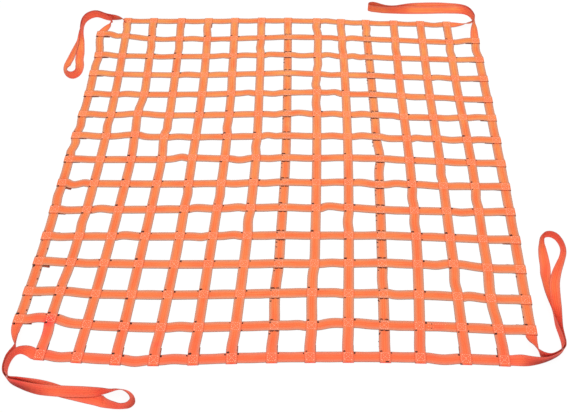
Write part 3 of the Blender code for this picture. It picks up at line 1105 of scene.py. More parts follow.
    @classmethod
    def yarn(cls, graph: Graph, across: Socket,
             along: Socket) -> Socket:
        """Raise the warp yarns in a broken twill, 0 in the gaps to 1 on the crowns.

        Args:
            graph: Where the nodes go.
            across: Place across the strap.
            along: Place along the strap.

        Returns:
            The height.
        """
        warp = graph.times(across, cls.WARP_YARNS)
        crown = graph.math("SINE", graph.times(graph.math("FRACT", warp), math.pi))
        shift = graph.times(graph.math("FLOOR", warp), cls.TWILL_STEP)
        shifted = graph.plus(graph.times(along, cls.WEFT_YARNS), shift)
        wave = graph.math("SINE", graph.times(shifted, 2 * math.pi))
        float_over = graph.plus(graph.times(wave, cls.FLOAT_DIP), 1.0 - cls.FLOAT_DIP)
        return graph.times(crown, float_over)

    @classmethod
    def groove(cls, graph: Graph, across: Socket) -> Socket:
        """Mark the grooves between the ribs with 1."""
        place = graph.math("FRACT", graph.times(across, cls.RIBS))
        off = graph.math("ABSOLUTE", graph.math("SUBTRACT", place, 0.5))
        return graph.ramp(off, *cls.GROOVE_RANGE)

    @classmethod
    def streaks(cls, graph: Graph, across: Socket,
                along: Socket) -> Socket:
        """Draw faint streaks that run with the warp, others on each strap.

        Args:
            graph: Where the nodes go.
            across: Place across the strap.
            along: Place along the strap.

        Returns:
            The streaks, from 0 to 1.
        """
        joined = graph.node("ShaderNodeCombineXYZ")
        parts = ((across, cls.STREAK_LANES), (along, cls.STREAK_RUN),
                 (graph.attribute("tone"), cls.STREAK_SPREAD))
        for socket, (value, scale) in zip(joined.inputs, parts):
            graph.link(graph.times(value, scale), socket)
        return graph.noise(joined.outputs[0], 1.0, cls.DETAIL)


@dataclass(frozen=True)
class StrapMaker:
    """Lays webbing along stations and dresses it.

    Attributes:
        web: The webbing.
        front_red: How much of the flushed colour the webbing takes at the front edge of the net.
        front_start: Place from which it reddens towards the front edge, y in metres.
        front_reach: How far on it is fully so, in metres.
        shade_top: Height up to which the webbing may lie in the shade, in metres.
        shade_depth: How far below that the shade is full, in metres.
        crease: Angle from which an edge looks sharp, in degrees.
    """

    web: Webbing
    front_red: float = 0.28
    front_start: float = -0.56
    front_reach: float = 0.14
    shade_top: float = 0.026
    shade_depth: float = 0.016
    crease: float = 50.0

    def strap(self, name: str, slot: str, stations: Sequence[Station],
              material: bpy.types.Material, tone: float, ribbed_below: bool = False,
              runs: Optional[Tuple[Vector, Vector]] = None,
              sewing: Sequence[bpy.types.Object] = ()) -> None:
        """Make one strap as a closed sheet of webbing.

        Args:
            name: Name of the solid that it stands for.
            slot: The record's material slot; not used.
            stations: Its cross-sections in order.
            material: Its finish.
            tone: How deep its dye is, from 0 to 1.
            ribbed_below: Whether the lower face has grooves too.
            runs: Headings of the first and the last station, where they are fixed.
            sewing: Stitches that lie on it; not used.
        """
        outline = self.web.outline(ribbed_below)
        centres = np.array([station.centre for station in stations])
        rings = self.rings(centres, stations, outline, runs)
        steps = np.linalg.norm(np.diff(centres, axis=0), axis=1)
        length = np.concatenate([[0.0], np.cumsum(steps)])
        points = rings.reshape(-1, 3)
        mesh = self.tube_mesh(f"webbing_{name}", rings)
        self.write_uv(mesh, outline, length / self.web.width)
        # Painted shade of the tails and of the loops' low parts.
        hidden = np.repeat([station.hidden for station in stations], len(outline))
        self.write_attribute(mesh, "sewn", np.repeat([s.sewn for s in stations], len(outline)))
        self.write_attribute(mesh, "hidden", np.maximum(hidden, self.shade_at(points)))
        self.write_attribute(mesh, "flush", self.flush_at(points))
        self.write_attribute(mesh, "tone", np.full(len(points), tone))
        mesh.materials.append(material)
        mesh.shade_smooth()
        mesh.set_sharp_from_angle(angle=math.radians(self.crease))
        piece = bpy.data.objects.new(mesh.name, mesh)
        bpy.context.scene.collection.objects.link(piece)
        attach(piece, BODY)
        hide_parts(name)
        LOG.info("%s: %.3f m of webbing, %d faces", piece.name, length[-1], len(mesh.polygons))

    def rings(self, centres: np.ndarray, stations: Sequence[Station],
              outline: Sequence[Tuple[float, float]],
              runs: Optional[Tuple[Vector, Vector]]) -> np.ndarray:
        """Lay the webbing's outline square to the strap at each station.

        Args:
            centres: Middles of the stations.
            stations: The stations.
            outline: The webbing's cross-section.
            runs: Headings of the first and the last station, where they are fixed.

        Returns:
            An array of rings of points.
        """
        across = np.array([station.across.normalized() for station in stations])
        ahead = np.gradient(centres, axis=0)
        if runs:
            ahead[0], ahead[-1] = runs
        ahead -= across * (ahead * across).sum(axis=1)[:, None]
        ahead /= np.linalg.norm(ahead, axis=1)[:, None]
        normal = np.cross(ahead, across)
        place, height = np.array(outline).T * [[-self.web.half], [1.0]]
        return (centres[:, None] + across[:, None] * place[None, :, None]
                + normal[:, None] * height[None, :, None])

    @staticmethod
    def tube_mesh(name: str, points: np.ndarray) -> bpy.types.Mesh:
        """Skin rings of points into a closed tube with flat ends.

        Args:
            name: Name of the mesh.
            points: An array of rings, each with the same number of points.

        Returns:
            The mesh.
        """
        rings, size = points.shape[:2]
        first = np.arange(rings - 1)[:, None] * size
        here = np.arange(size)[None, :]
        after = (here + 1) % size
        corners = (first + here, first + after, first + size + after, first + size + here)
        faces = np.stack(corners, axis=-1).reshape(-1, 4).tolist()
        faces.append(list(range(size))[::-1])
        faces.append(list(range((rings - 1) * size, rings * size)))
        mesh = bpy.data.meshes.new(name)
        mesh.from_pydata(points.reshape(-1, 3).tolist(), [], faces)
        return mesh

    @staticmethod
    def write_uv(mesh: bpy.types.Mesh, outline: Sequence[Tuple[float, float]],
                 along: np.ndarray) -> None:
        """Write the UV map: u across the webbing, v along it in widths.

        Args:
            mesh: The mesh.
            outline: The webbing's cross-section.
            along: Place of each ring along the strap, in widths.
        """
        across = np.array([(point[0] + 1) / 2 for point in outline])
        per_point = np.stack([np.tile(across, len(along)), np.repeat(along, len(outline))], axis=-1)
        corners = np.empty(len(mesh.loops), dtype=np.int32)
        mesh.loops.foreach_get("vertex_index", corners)
        layer = mesh.uv_layers.new(name="strap")
        layer.data.foreach_set("uv", per_point[corners].ravel())

    @staticmethod
    def spot_at(spot: Spot, points: np.ndarray) -> np.ndarray:
        """Tell how much of a spot reaches each point; it fades away from its middle."""
        away = np.hypot(points[:, 0] - spot.x * MM, points[:, 1] - spot.y * MM)
        return spot.amount * np.exp(-(away / (spot.radius * MM)) ** 2)

    def flush_at(self, points: np.ndarray) -> np.ndarray:
        """Tell how much of the flushed colour each point takes, at the front edge and at the shade
        spots.

        Args:
            points: The points, in metres.

        Returns:
            A number for each point.
        """
        reach = (self.front_start - points[:, 1]) / self.front_reach
        flush = self.front_red * np.clip(reach, 0.0, 1.0)
        for spot in SHADE_RED_SPOTS:
            value = self.spot_at(spot, points)
            flush = np.where(np.abs(value) > np.abs(flush), value, flush)
        return flush

    def shade_at(self, points: np.ndarray) -> np.ndarray:
        """Tell how far each point lies in the shade."""
        low = np.clip((self.shade_top - points[:, 2]) / self.shade_depth, 0.0, 1.0)
        return low * np.max([self.spot_at(spot, points) for spot in SHADES], axis=0)

    @staticmethod
    def write_attribute(mesh: bpy.types.Mesh, name: str, values: np.ndarray) -> None:
        """Write one number for each point of the mesh."""
        layer = mesh.attributes.new(name, "FLOAT", "POINT")
        layer.data.foreach_set("value", np.asarray(values, dtype=np.float32))


@dataclass(frozen=True)
class Bridge:
    """Webbing at its crossings and between them.

    Attributes:
        patch: Length of the flat stretch at a crossing.
        steps: Sections between two flat stretches.
        sag: Largest drop of loose webbing towards the floor.
        tilt: Largest tilt of loose webbing, in degrees.
        clearance: Least gap between the webbing and the floor.
        fullness: How narrow a swell is; more is narrower.
    """

    patch: float = 0.036
    steps: int = 12
    sag: float = 0.0009
    tilt: float = 4.0
    clearance: float = 0.0001
    fullness: float = 1.35

    # Share of the flat stretch from its middle, and how sewn it is there.
    SEWING: ClassVar = ((-0.5, 0.0), (-0.40, 0.0), (-0.36, 1.0), (0.0, 1.0), (0.36, 1.0),
                        (0.40, 0.0), (0.5, 0.0))

    def between(self, one: Knot, two: Knot, bulges: Sequence[Bulge], loose: bool, web: Webbing,
                stream: random.Random) -> List[Station]:
        """List the sections between two flat stretches, without their ends.

        Args:
            one: The stretch before.
            two: The stretch after.
            bulges: Its bows in this cell, + to the left.
            loose: Whether the webbing may sag and tilt.
            web: The webbing.
            stream: Where its unevenness comes from.

        Returns:
            The sections.
        """
        start = one.middle + one.run * self.patch / 2
        end = two.middle - two.run * self.patch / 2
        reach = (end - start).length
        sag = stream.uniform(0.2, 1.0) * self.sag if loose else 0.0
        tilt = math.radians(stream.uniform(-1.0, 1.0) * self.tilt) if loose else 0.0
        left = leftward(flat(two.middle - one.middle))
        points = []
        for step in range(-1, self.steps + 2):
            t = min(max(step / self.steps, 0.0), 1.0)
            bow = sum(self.swell(t, bulge.top) * bulge.sideways for bulge in bulges) * MM
            points.append(hermite(start, one.run * reach, end, two.run * reach, t) + left * bow)
        stations = []
        for step in range(1, self.steps):
            before, centre, after = points[step:step + 3]
            swell = self.swell(step / self.steps, 0.5)
            lean = tilt * swell
            across = leftward(flat(after - before)) * math.cos(lean) + UP * math.sin(lean)
            lowest = web.thickness / 2 + self.clearance + web.half * abs(math.sin(lean))
            height = max(centre.z - sag * swell, lowest)
            stations.append(Station(Vector((centre.x, centre.y, height)), across))
        return stations

    def swell(self, t: float, top: float) -> float:
        """Rise from 0 at both ends of a cell to 1 at the given share of it."""
        return abs(math.sin(math.pi * t ** (math.log(0.5) / math.log(top)))) ** self.fullness

    def flat_stretch(self, knot: Knot, most: float) -> List[Station]:
        """List the sections of a flat stretch, with the sewn part marked up to the given most."""
        left = leftward(knot.run)
        return [Station(knot.middle + knot.run * self.patch * share, left, sewn * most)
                for share, sewn in self.SEWING]


@dataclass
class FieldStraps:
    """The straps that fill the net, folded round the borders at both ends.

    Attributes:
        plan: Where they cross.
        maker: What lays the webbing.
        material: Their finish.
        sewing: The stitches over the crossings.
        bridge: How they run between their ends.
        tail: End folded under, past the border's inner edge.
        fold_set: From a border's outer edge out to the hinge of the fold round it.
        fold_reach: How far the fold's middle bellies out past its hinge.
        fold_steps: Sections in a fold.
        sewn_half: Half the sewn part of a folded end, as a share of half the webbing's width.
        length_shade: How shaded the length straps' tails look beside the cross straps'.
        under_sewn: How sewn a cross strap looks where it runs over a length strap.
    """

    plan: NetPlan
    maker: StrapMaker
    material: bpy.types.Material
    sewing: "Stitching"
    bridge: Bridge = Bridge()
    tail: float = 0.021
    fold_set: float = -0.0004
    fold_reach: float = 0.0014
    fold_steps: int = 10
    sewn_half: float = 0.95
    length_shade: float = 0.2
    under_sewn: float = 0.25

    # Sections over the border, as shares of half a flat stretch out from its middle.
    OVER: ClassVar = (-1.0, -0.55, 0.0, 0.5)
    # Share of the tail's length, and how shaded it is there.
    TAIL_SHADES: ClassVar = ((0.5, 0.4), (0.75, 0.65), (1.0, 1.0))
    FOLD_SHADE: ClassVar = 0.1

    def build(self) -> None:
        """Make all the length straps and cross straps."""
        for way in Way:
            lengthwise = way is Way.LENGTH
            draw = Draw.LENGTH_TONE if lengthwise else Draw.CROSS_TONE
            for number in range(1, self.plan.cells):
                self.maker.strap(f"{way.value}_strap_{number:02d}", "strap_webbing",
                                 self.stations(way, number), self.material,
                                 seeded(draw, number).uniform(0.0, 0.5),
                                 sewing=[self.sewing.columns[number]] if lengthwise else [])

    def knots(self, way: Way, number: int) -> List[Knot]:
        """List the flat stretches of a strap, border to border.

        Args:
            way: Which way the strap runs.
            number: Its row or column.

        Returns:
            The flat stretches.
        """
        plan = self.plan
        knots = []
        for place in range(plan.cells + 1):
            row, column = (place, number) if way is Way.LENGTH else (number, place)
            on_top = plan.length_on_top(row, column) == (way is Way.LENGTH)
            layer = plan.top_layer(row, column) if on_top else plan.top_layer(row, column) - 1
            run = plan.length_run(row, column) if way is Way.LENGTH else plan.cross_run(row, column)
            knots.append(Knot(plan.crossing(row, column) + UP * plan.web.level(layer), run))
        return knots

    def stations(self, way: Way, number: int) -> List[Station]:
        """List a field strap's cross-sections, fold to fold.

        Args:
            way: Which way the strap runs.
            number: Its row or column.

        Returns:
            The sections.
        """
        knots = self.knots(way, number)
        last = self.plan.cells
        lengthwise = way is Way.LENGTH
        table = LENGTH_BULGES if lengthwise else CROSS_BULGES
        draw = Draw.LENGTH_LIE if lengthwise else Draw.CROSS_LIE
        shade = self.length_shade if lengthwise else 1.0
        first_turn, last_turn = (0.0 if lengthwise else self.tail_turn(side, number)
                                 for side in (Side.LEFT, Side.RIGHT))
        start = self.fold(knots[0], knots[1].middle, -1, first_turn, shade)
        stations = [station._replace(across=-station.across) for station in reversed(start)]
        for place in range(1, last + 1):
            stations += self.bridge.between(knots[place - 1], knots[place],
                                            bows(table, number, place - 1), 1 < place < last,
                                            self.plan.web, seeded(draw, number, place))
            if place < last:
                over = not lengthwise and place in self.plan.under_columns
                stations += self.bridge.flat_stretch(knots[place], self.under_sewn if over else 1.0)
        return stations + self.fold(knots[-1], knots[-2].middle, 1, last_turn, shade)

    @staticmethod
    def tail_turn(side: Side, row: int) -> float:
        """Tell how far a cross strap's tail lies askew, in degrees."""
        return sum(tail.turn for tail in ASKEW if (tail.side, tail.row) == (side, row))

    def fold(self, knot: Knot, inner: Vector, sign: int, turn: float,
             shade: float) -> List[Station]:
        """List the sections of an end that folds round a border strap and runs back beneath it.

        Args:
            knot: The strap over the border.
            inner: Middle of its next crossing.
            sign: 1 at the end of the strap and -1 at its start.
            turn: How far the tail lies askew, in degrees.
            shade: How shaded its end looks.

        Returns:
            The sections from the inner side of the border to the cut end of the tail.
        """
        web = self.plan.web
        middle, out = knot.middle, knot.run * sign
        across = leftward(out)
        edge = middle + out * (web.half + self.fold_set)
        stations = []
        for share in self.OVER:
            place = self.bridge.patch / 2 * share
            sewn = 1.0 if abs(place) < web.half * self.sewn_half else 0.0
            stations.append(Station(middle + out * place, across, sewn))
        for step in range(self.fold_steps + 1):
            angle = math.pi / 2 - math.pi * step / self.fold_steps
            around = out * math.cos(angle) * self.fold_reach + UP * math.sin(angle) * web.layer
            stations.append(Station(edge - UP * web.layer + around, across))
        start = edge - UP * web.layer * 2
        back = turned((flat(inner - middle) - out).normalized(), turn)
        skewed = -leftward(back)
        length = web.width + self.tail
        # The tail beneath the border takes painted shade, fuller towards its cut end.
        stations.append(Station(start + back * web.half, (across + skewed) / 2, 0.0,
                                self.FOLD_SHADE * shade))
        stations += [Station(start + back * length * share, skewed, 0.0, hidden * shade)
                     for share, hidden in self.TAIL_SHADES]
        return stations


@dataclass
class BorderStraps:
    """The four straps round the net; each ends in the middle of a fold.

    Attributes:
        plan: Where they run.
        maker: What lays the webbing.
        material: Their finish.
        sewing: The stitches over the crossings.
        bridge: How they run between their ends.
    """

    plan: NetPlan
    maker: StrapMaker
    material: bpy.types.Material
    sewing: "Stitching"
    bridge: Bridge = Bridge(sag=0.0016)

    def build(self) -> None:
        """Make the four border straps."""
        last = self.plan.cells
        inner = range(1, last)
        places = {
            Side.LEFT: [(row, 0) for row in inner],
            Side.RIGHT: [(row, last) for row in inner],
            Side.BACK: [(0, column) for column in inner],
            Side.FRONT: [(last, column) for column in inner],
        }
        for number, (side, crossings) in enumerate(places.items()):
            column = {Side.LEFT: 0, Side.RIGHT: last}.get(side)
            self.maker.strap(f"border_strap_{side.value}", "border_webbing",
                             self.stations(side, number, crossings), self.material,
                             seeded(Draw.BORDER_TONE, number).uniform(0.2, 0.6),
                             sewing=[] if column is None else [self.sewing.columns[column]])

    def stations(self, side: Side, number: int,
                 crossings: Sequence[Tuple[int, int]]) -> List[Station]:
        """List a border strap's sections, butt to butt.

        Args:
            side: Which border.
            number: Its number, for its seed.
            crossings: Its crossings in order.

        Returns:
            The sections.
        """
        plan = self.plan
        knots = [Knot(plan.crossing(*place) + UP * plan.web.level(1), plan.border_run(*place))
                 for place in crossings]
        first, last = knots[0], knots[-1]
        ends = (plan.butt, self.bridge.patch / 2)
        stations = [Station(first.middle + first.run * place, leftward(first.run))
                    for place in ends]
        across_net = side in (Side.BACK, Side.FRONT)
        table = CROSS_BULGES if across_net else LENGTH_BULGES
        strap = crossings[0][0] if across_net else crossings[0][1]
        for place in range(1, len(knots)):
            stations += self.bridge.between(knots[place - 1], knots[place],
                                            bows(table, strap, place), True, plan.web,
                                            seeded(Draw.BORDER_LIE, number, place))
            if place < len(knots) - 1:
                stations += self.bridge.flat_stretch(knots[place], 0.0)
        return stations + [Station(last.middle - last.run * place, leftward(last.run))
                           for place in reversed(ends)]


class Seam(NamedTuple):
    """Where a loop goes on from a border strap: the crossing, and 1 or -1 for its heading there."""

    row: int
    column: int
    sign: int


@dataclass
class CornerLoops:
    """The four lifting loops, stood on edge and leaning as they lie.

    Attributes:
        plan: Where they leave the net.
        maker: What lays the webbing.
        material: Their finish.
        step: Distance between two sections.
        gap: Least clearance from the floor.
    """

    plan: NetPlan
    maker: StrapMaker
    material: bpy.types.Material
    step: float = 0.004
    gap: float = 0.0003

    def build(self) -> None:
        """Make the four loops."""
        last = self.plan.cells
        near = last - 1
        loops = {
            "front_left": (FRONT_LEFT_LOOP, Seam(near, 0, 1), Seam(last, 1, 1)),
            "front_right": (FRONT_RIGHT_LOOP, Seam(last, near, 1), Seam(near, last, -1)),
            "back_left": (BACK_LEFT_LOOP, Seam(0, 1, -1), Seam(1, 0, 1)),
            "back_right": (BACK_RIGHT_LOOP, Seam(1, last, -1), Seam(0, near, -1)),
        }
        for number, (corner, (feet, entry, leave)) in enumerate(loops.items()):
            runs = (self.heading(entry), self.heading(leave))
            feet = (self.seam_foot(entry, 1), *feet, self.seam_foot(leave, -1))
            self.maker.strap(f"corner_loop_{corner}", "loop_webbing", self.stations(feet),
                             self.material, seeded(Draw.LOOP_TONE, number).uniform(0.2, 0.6),
                             ribbed_below=True, runs=runs)

    def heading(self, seam: Seam) -> Vector:
        """Give the loop's heading where it meets a border strap."""
        return self.plan.border_run(seam.row, seam.column) * seam.sign

    def seam_foot(self, seam: Seam, onward: int) -> Foot:
        """Give the loop's edge at a seam; onward is 1 where it begins and -1 where it ends.

        Args:
            seam: The seam.
            onward: 1 where the loop begins and -1 where it ends.

        Returns:
            The place.
        """
        plan, run = self.plan, self.heading(seam)
        middle = plan.crossing(seam.row, seam.column)
        edge = middle - leftward(run) * plan.web.half + run * plan.butt * onward
        return Foot(edge.x / MM, edge.y / MM, 0.0, (plan.web.layer + middle.z) / MM)

    def stations(self, feet: Sequence[Foot]) -> List[Station]:
        """List a loop's sections on a smooth curve along the edge that rests on the floor.

        Args:
            feet: Places on that edge, in order.

        Returns:
            The sections.
        """
        web = self.plan.web
        table = np.array(feet)
        chords = np.linalg.norm(np.diff(table[:, :2], axis=0), axis=1)
        places = np.concatenate([[0.0], np.cumsum(chords)])
        wanted = np.linspace(0.0, places[-1], int(places[-1] * MM / self.step))
        curve = self.smooth(places, table, wanted)
        ahead = np.gradient(curve[:, :2], axis=0)
        stations = []
        for (x, y, lean, lift), (run_x, run_y) in zip(curve, ahead):
            run = flat(Vector((run_x, run_y, 0.0)))
            angle = math.radians(min(max(lean, 0.0), 180.0))
            across = leftward(run) * math.cos(angle) + UP * math.sin(angle)
            rise = max(lift * MM, self.gap) + web.level(0) * abs(math.cos(angle))
            foot = Vector((x * MM, y * MM, rise))
            stations.append(Station(foot + across * web.half, across))
        return stations

    @staticmethod
    def smooth(places: np.ndarray, table: np.ndarray, wanted: np.ndarray) -> np.ndarray:
        """Read a smooth curve through rows of values.

        Args:
            places: Distance of each row along the curve.
            table: The rows.
            wanted: Distances to read at.

        Returns:
            A row of values for each distance.
        """
        slopes = np.gradient(table, places, axis=0)
        index = np.searchsorted(places, wanted, side="right") - 1
        index = np.clip(index, 0, len(places) - 2)
        span = (places[index + 1] - places[index])[:, None]
        t = (wanted - places[index])[:, None] / span
        return hermite(table[index], slopes[index] * span,
                       table[index + 1], slopes[index + 1] * span, t)


@dataclass(frozen=True)
class ShadowTackKind:
    """One kind of dark tack of painted shade: two threads laid side by side.

    Attributes:
        right: From the crossing's middle to the right, in mm.
        back: From the crossing's middle to the back, in mm.
        length: Length of its threads, in mm.
        breadth: Breadth of both threads, in mm.
        heading: Heading of its threads, in degrees from the cross way.
        beside: Whether it lies on the lower strap.
        chance: How often it shows at the front of the net.
    """

    right: float
    back: float
    length: float
    breadth: float
    heading: float
    beside: bool
    chance: float


# Painted shade tacks at the upper strap's corners: top left, left, right, low left and low right.
SHADOW_TACKS = (
    ShadowTackKind(-9.5, 14.8, 10.5, 5.0, 4, False, 0.85),
    ShadowTackKind(-17.2, 10.5, 5.5, 4.6, 84, True, 0.6),
    ShadowTackKind(17.4, 11.0, 7.5, 4.8, 88, True, 0.85),
    ShadowTackKind(-10.0, -15.0, 9.0, 4.4, 6, False, 0.75),
    ShadowTackKind(17.2, -11.0, 5.0, 4.0, 90, True, 0.25),
)

# Painted shade tacks where the length strap runs beneath: lines along the cross strap's front
# and back edges, and dots on it and to the front of it.
UNDER_SHADOW_TACKS = (
    ShadowTackKind(-6.0, -15.8, 13.0, 2.8, 0, True, 0.95),
    ShadowTackKind(7.0, -15.8, 12.0, 2.6, 0, True, 0.9),
    ShadowTackKind(-7.0, 18.6, 13.0, 3.4, 0, True, 0.9),
    ShadowTackKind(7.0, 18.4, 12.0, 3.0, 0, True, 0.75),
    ShadowTackKind(-11.0, 9.0, 4.0, 3.8, 0, False, 0.7),
    ShadowTackKind(-12.5, -24.0, 4.5, 4.4, 90, True, 0.85),
    ShadowTackKind(-12.5, -41.0, 4.0, 3.6, 90, True, 0.4),
)


@dataclass(frozen=True)
class Splice:
    """Stitches that join two lengths of a cross strap, to the right of a crossing.

    Attributes:
        row: Row of the crossing.
        column: Column of the crossing.
        first: From the crossing's middle to the first stitches, in mm.
        spacing: From one set of stitches to the next, in mm.
        count: Sets of stitches.
        lanes: Where the stitches of a set lie across the strap, in mm.
        shift: Largest shift of a stitch, in mm.
        turn: Largest turn of a stitch, in degrees.
    """

    row: int = 13
    column: int = 11
    first: float = 24.0
    spacing: float = 6.4
    count: int = 8
    lanes: Tuple[float, ...] = (-9.0, 0.0, 9.0)
    shift: float = 0.8
    turn: float = 50.0


@dataclass
class Stitching:
    """Squares of stitches over the crossings, and dark tacks of painted shade at their corners.

    Attributes:
        plan: Where the crossings are.
        thread: Finish of the sewing thread.
        dark: Finish of the tacks, whose dark thread is painted shade.
        columns: The stitches of each column of crossings, once made.
        splice: The splice in a cross strap.
        square: Side of a stitched square.
        length: Length of one stitch.
        width: Width of the thread.
        spacing: Distance between two stitches.
        plump: Half the height of a stitch, as a share of its width.
        droop: How far its ends are drawn down, as a share of its width.
        lift: Height of a stitch's middle over the webbing, as a share of its width.
        shift: Largest shift of a stitch off its line, in mm.
        skew: Largest turn of a stitch off its line, in degrees.
        unevenness: Largest part by which a square differs from its side.
        square_turn: Largest turn of a square, in degrees.
        tack_sizes: Range of a tack's size.
        line_sizes: Range of its size where the length strap runs beneath.
        tack_skew: Largest turn of a tack's thread, in degrees.
        tack_lift: Height of a tack's middle over its strap, in widths of the thread.
        dot_lift: Its height on a cross strap that runs over a length strap.
        back_share: Share of the tacks that still shows at the back.
        right_loss: Share of the tacks that is lost at the right.
    """

    plan: NetPlan
    thread: bpy.types.Material
    dark: bpy.types.Material
    columns: List[bpy.types.Object]
    splice: Splice = Splice()
    square: float = 0.0215
    length: float = 0.0040
    width: float = 0.0016
    spacing: float = 0.0056
    plump: float = 0.42
    droop: float = 0.3
    lift: float = 0.12
    shift: float = 0.3
    skew: float = 10.0
    unevenness: float = 0.04
    square_turn: float = 4.0
    tack_sizes: Tuple[float, float] = (0.5, 1.15)
    line_sizes: Tuple[float, float] = (0.75, 1.3)
    tack_skew: float = 9.0
    tack_lift: float = 0.25
    dot_lift: float = 0.6
    back_share: float = 0.3
    right_loss: float = 0.45

    # A tack at the edge of the left or right border: right and back in mm, heading in degrees.
    BORDER_TACK: ClassVar = (-10.0, 16.8, 4)
    # How a thread is stretched in a tack: its length, its breadth and its height.
    TACK_STRETCH: ClassVar = (1.0, 1.3, 1.2)
    LONE_STRETCH: ClassVar = (1.2, 2.6, 1.3)
    # Height of a lone tack's middle over its strap, and of a splice's, in widths of the thread.
    LONE_LIFT: ClassVar = 0.3
    SPLICE_LIFT: ClassVar = 0.15

    def build(self) -> None:
        """Make the stitches of every column of crossings, and the tacks of painted shade."""
        cells = self.plan.cells
        shape = self.stitch_shape()
        for column in range(cells + 1):
            marks: List[Matrix] = []
            for row in range(cells + 1):
                if not self.at_corner(row, column):
                    marks += self.square_marks(row, column)
            if column == self.splice.column:
                marks += self.splice_marks()
            name = f"stitches_column_{column:02d}"
            self.columns.append(self.joined(name, shape, marks, self.thread))
        tacks: List[Matrix] = []
        for row in range(1, cells + 1):
            for column in range(cells + 1):
                if not self.at_corner(row, column):
                    tacks += self.tack_marks(row, column)
        tacks += [self.lone_mark(mark) for mark in SHADOW_MARKS]
        self.joined("corner_shadow_tacks", shape, tacks, self.dark)

    def at_corner(self, row: int, column: int) -> bool:
        """Tell whether a place is one of the net's corners, where no straps cross."""
        return row in (0, self.plan.cells) and column in (0, self.plan.cells)

    def stitch_shape(self) -> Tuple[np.ndarray, List[List[int]]]:
        """Model one stitch: a short rounded thread, lying along X with its ends drawn down.

        Returns:
            Its points and faces.
        """
        half = self.length / 2
        bpy.ops.object.select_all(action="DESELECT")
        bpy.ops.mesh.primitive_ico_sphere_add(subdivisions=1, radius=1.0, location=(0, 0, 0))
        stitch = bpy.context.object
        bpy.ops.object.mode_set(mode="EDIT")
        bpy.ops.mesh.select_all(action="SELECT")
        bpy.ops.transform.resize(value=(half, self.width / 2, self.width * self.plump))
        bpy.ops.object.mode_set(mode="OBJECT")
        mesh = stitch.data
        points = np.array([vertex.co for vertex in mesh.vertices])
        points[:, 2] -= (np.abs(points[:, 0]) / half) ** 2 * self.width * self.droop
        faces = [list(face.vertices) for face in mesh.polygons]
        bpy.data.objects.remove(stitch)
        bpy.data.meshes.remove(mesh)
        return points, faces

    def frame_at(self, row: int, column: int) -> Matrix:
        """Give the frame on top of a crossing: X along the cross way, Y to the back, Z up.

        Args:
            row: Row of the crossing, from 0 at the back.
            column: Column of the crossing, from 0 at the left.

        Returns:
            The frame.
        """
        plan = self.plan
        top = plan.web.level(plan.top_layer(row, column)) + plan.web.thickness / 2
        middle = plan.crossing(row, column) + UP * top
        if plan.length_on_top(row, column):
            back = -plan.length_run(row, column)
            right = -leftward(back)
        else:
            right = plan.cross_run(row, column)
            back = leftward(right)
        return Matrix.Translation(middle) @ Matrix((right, back, UP)).transposed().to_4x4()

    def square_marks(self, row: int, column: int) -> List[Matrix]:
        """Place the stitches of one square: its four sides and its two diagonals.

        Args:
            row: Row of the crossing, from 0 at the back.
            column: Column of the crossing, from 0 at the left.

        Returns:
            A matrix for each stitch.
        """
        stream = seeded(Draw.SQUARE, row, column)
        half = self.square / 2 * stream.uniform(1.0 - self.unevenness, 1.0 + self.unevenness)
        turn = stream.uniform(-self.square_turn, self.square_turn)
        base = self.frame_at(row, column) @ spin(turn)
        corners = [(-half, -half), (half, -half), (half, half), (-half, half)]
        lines = [(corners[side], corners[(side + 1) % 4]) for side in range(4)]
        lines += [(corners[0], corners[2]), (corners[1], corners[3])]
        marks = []
        for (x0, y0), (x1, y1) in lines:
            heading = math.degrees(math.atan2(y1 - y0, x1 - x0))
            count = round(math.hypot(x1 - x0, y1 - y0) / self.spacing)
            for step in range(count):
                share = (step + 0.5) / count
                x = x0 + (x1 - x0) * share + stream.uniform(-self.shift, self.shift) * MM
                y = y0 + (y1 - y0) * share + stream.uniform(-self.shift, self.shift) * MM
                place = Matrix.Translation((x, y, self.width * self.lift))
                marks.append(base @ place @ spin(heading + stream.uniform(-self.skew, self.skew)))
        return marks

    def splice_marks(self) -> List[Matrix]:
        """Place the stitches of the splice, which lies on the lower strap.

        Returns:
            A matrix for each stitch.
        """
        splice = self.splice
        stream = seeded(Draw.SPLICE, splice.row, splice.column)
        base = self.frame_at(splice.row, splice.column)
        height = self.width * self.SPLICE_LIFT - self.plan.web.layer
        marks = []
        for step in range(splice.count):
            for lane in splice.lanes:
                along = splice.first + step * splice.spacing
                x = (along + stream.uniform(-splice.shift, splice.shift)) * MM
                y = (lane + stream.uniform(-splice.shift, splice.shift)) * MM
                turn = spin(stream.uniform(-splice.turn, splice.turn))
                marks.append(base @ Matrix.Translation((x, y, height)) @ turn)
        return marks

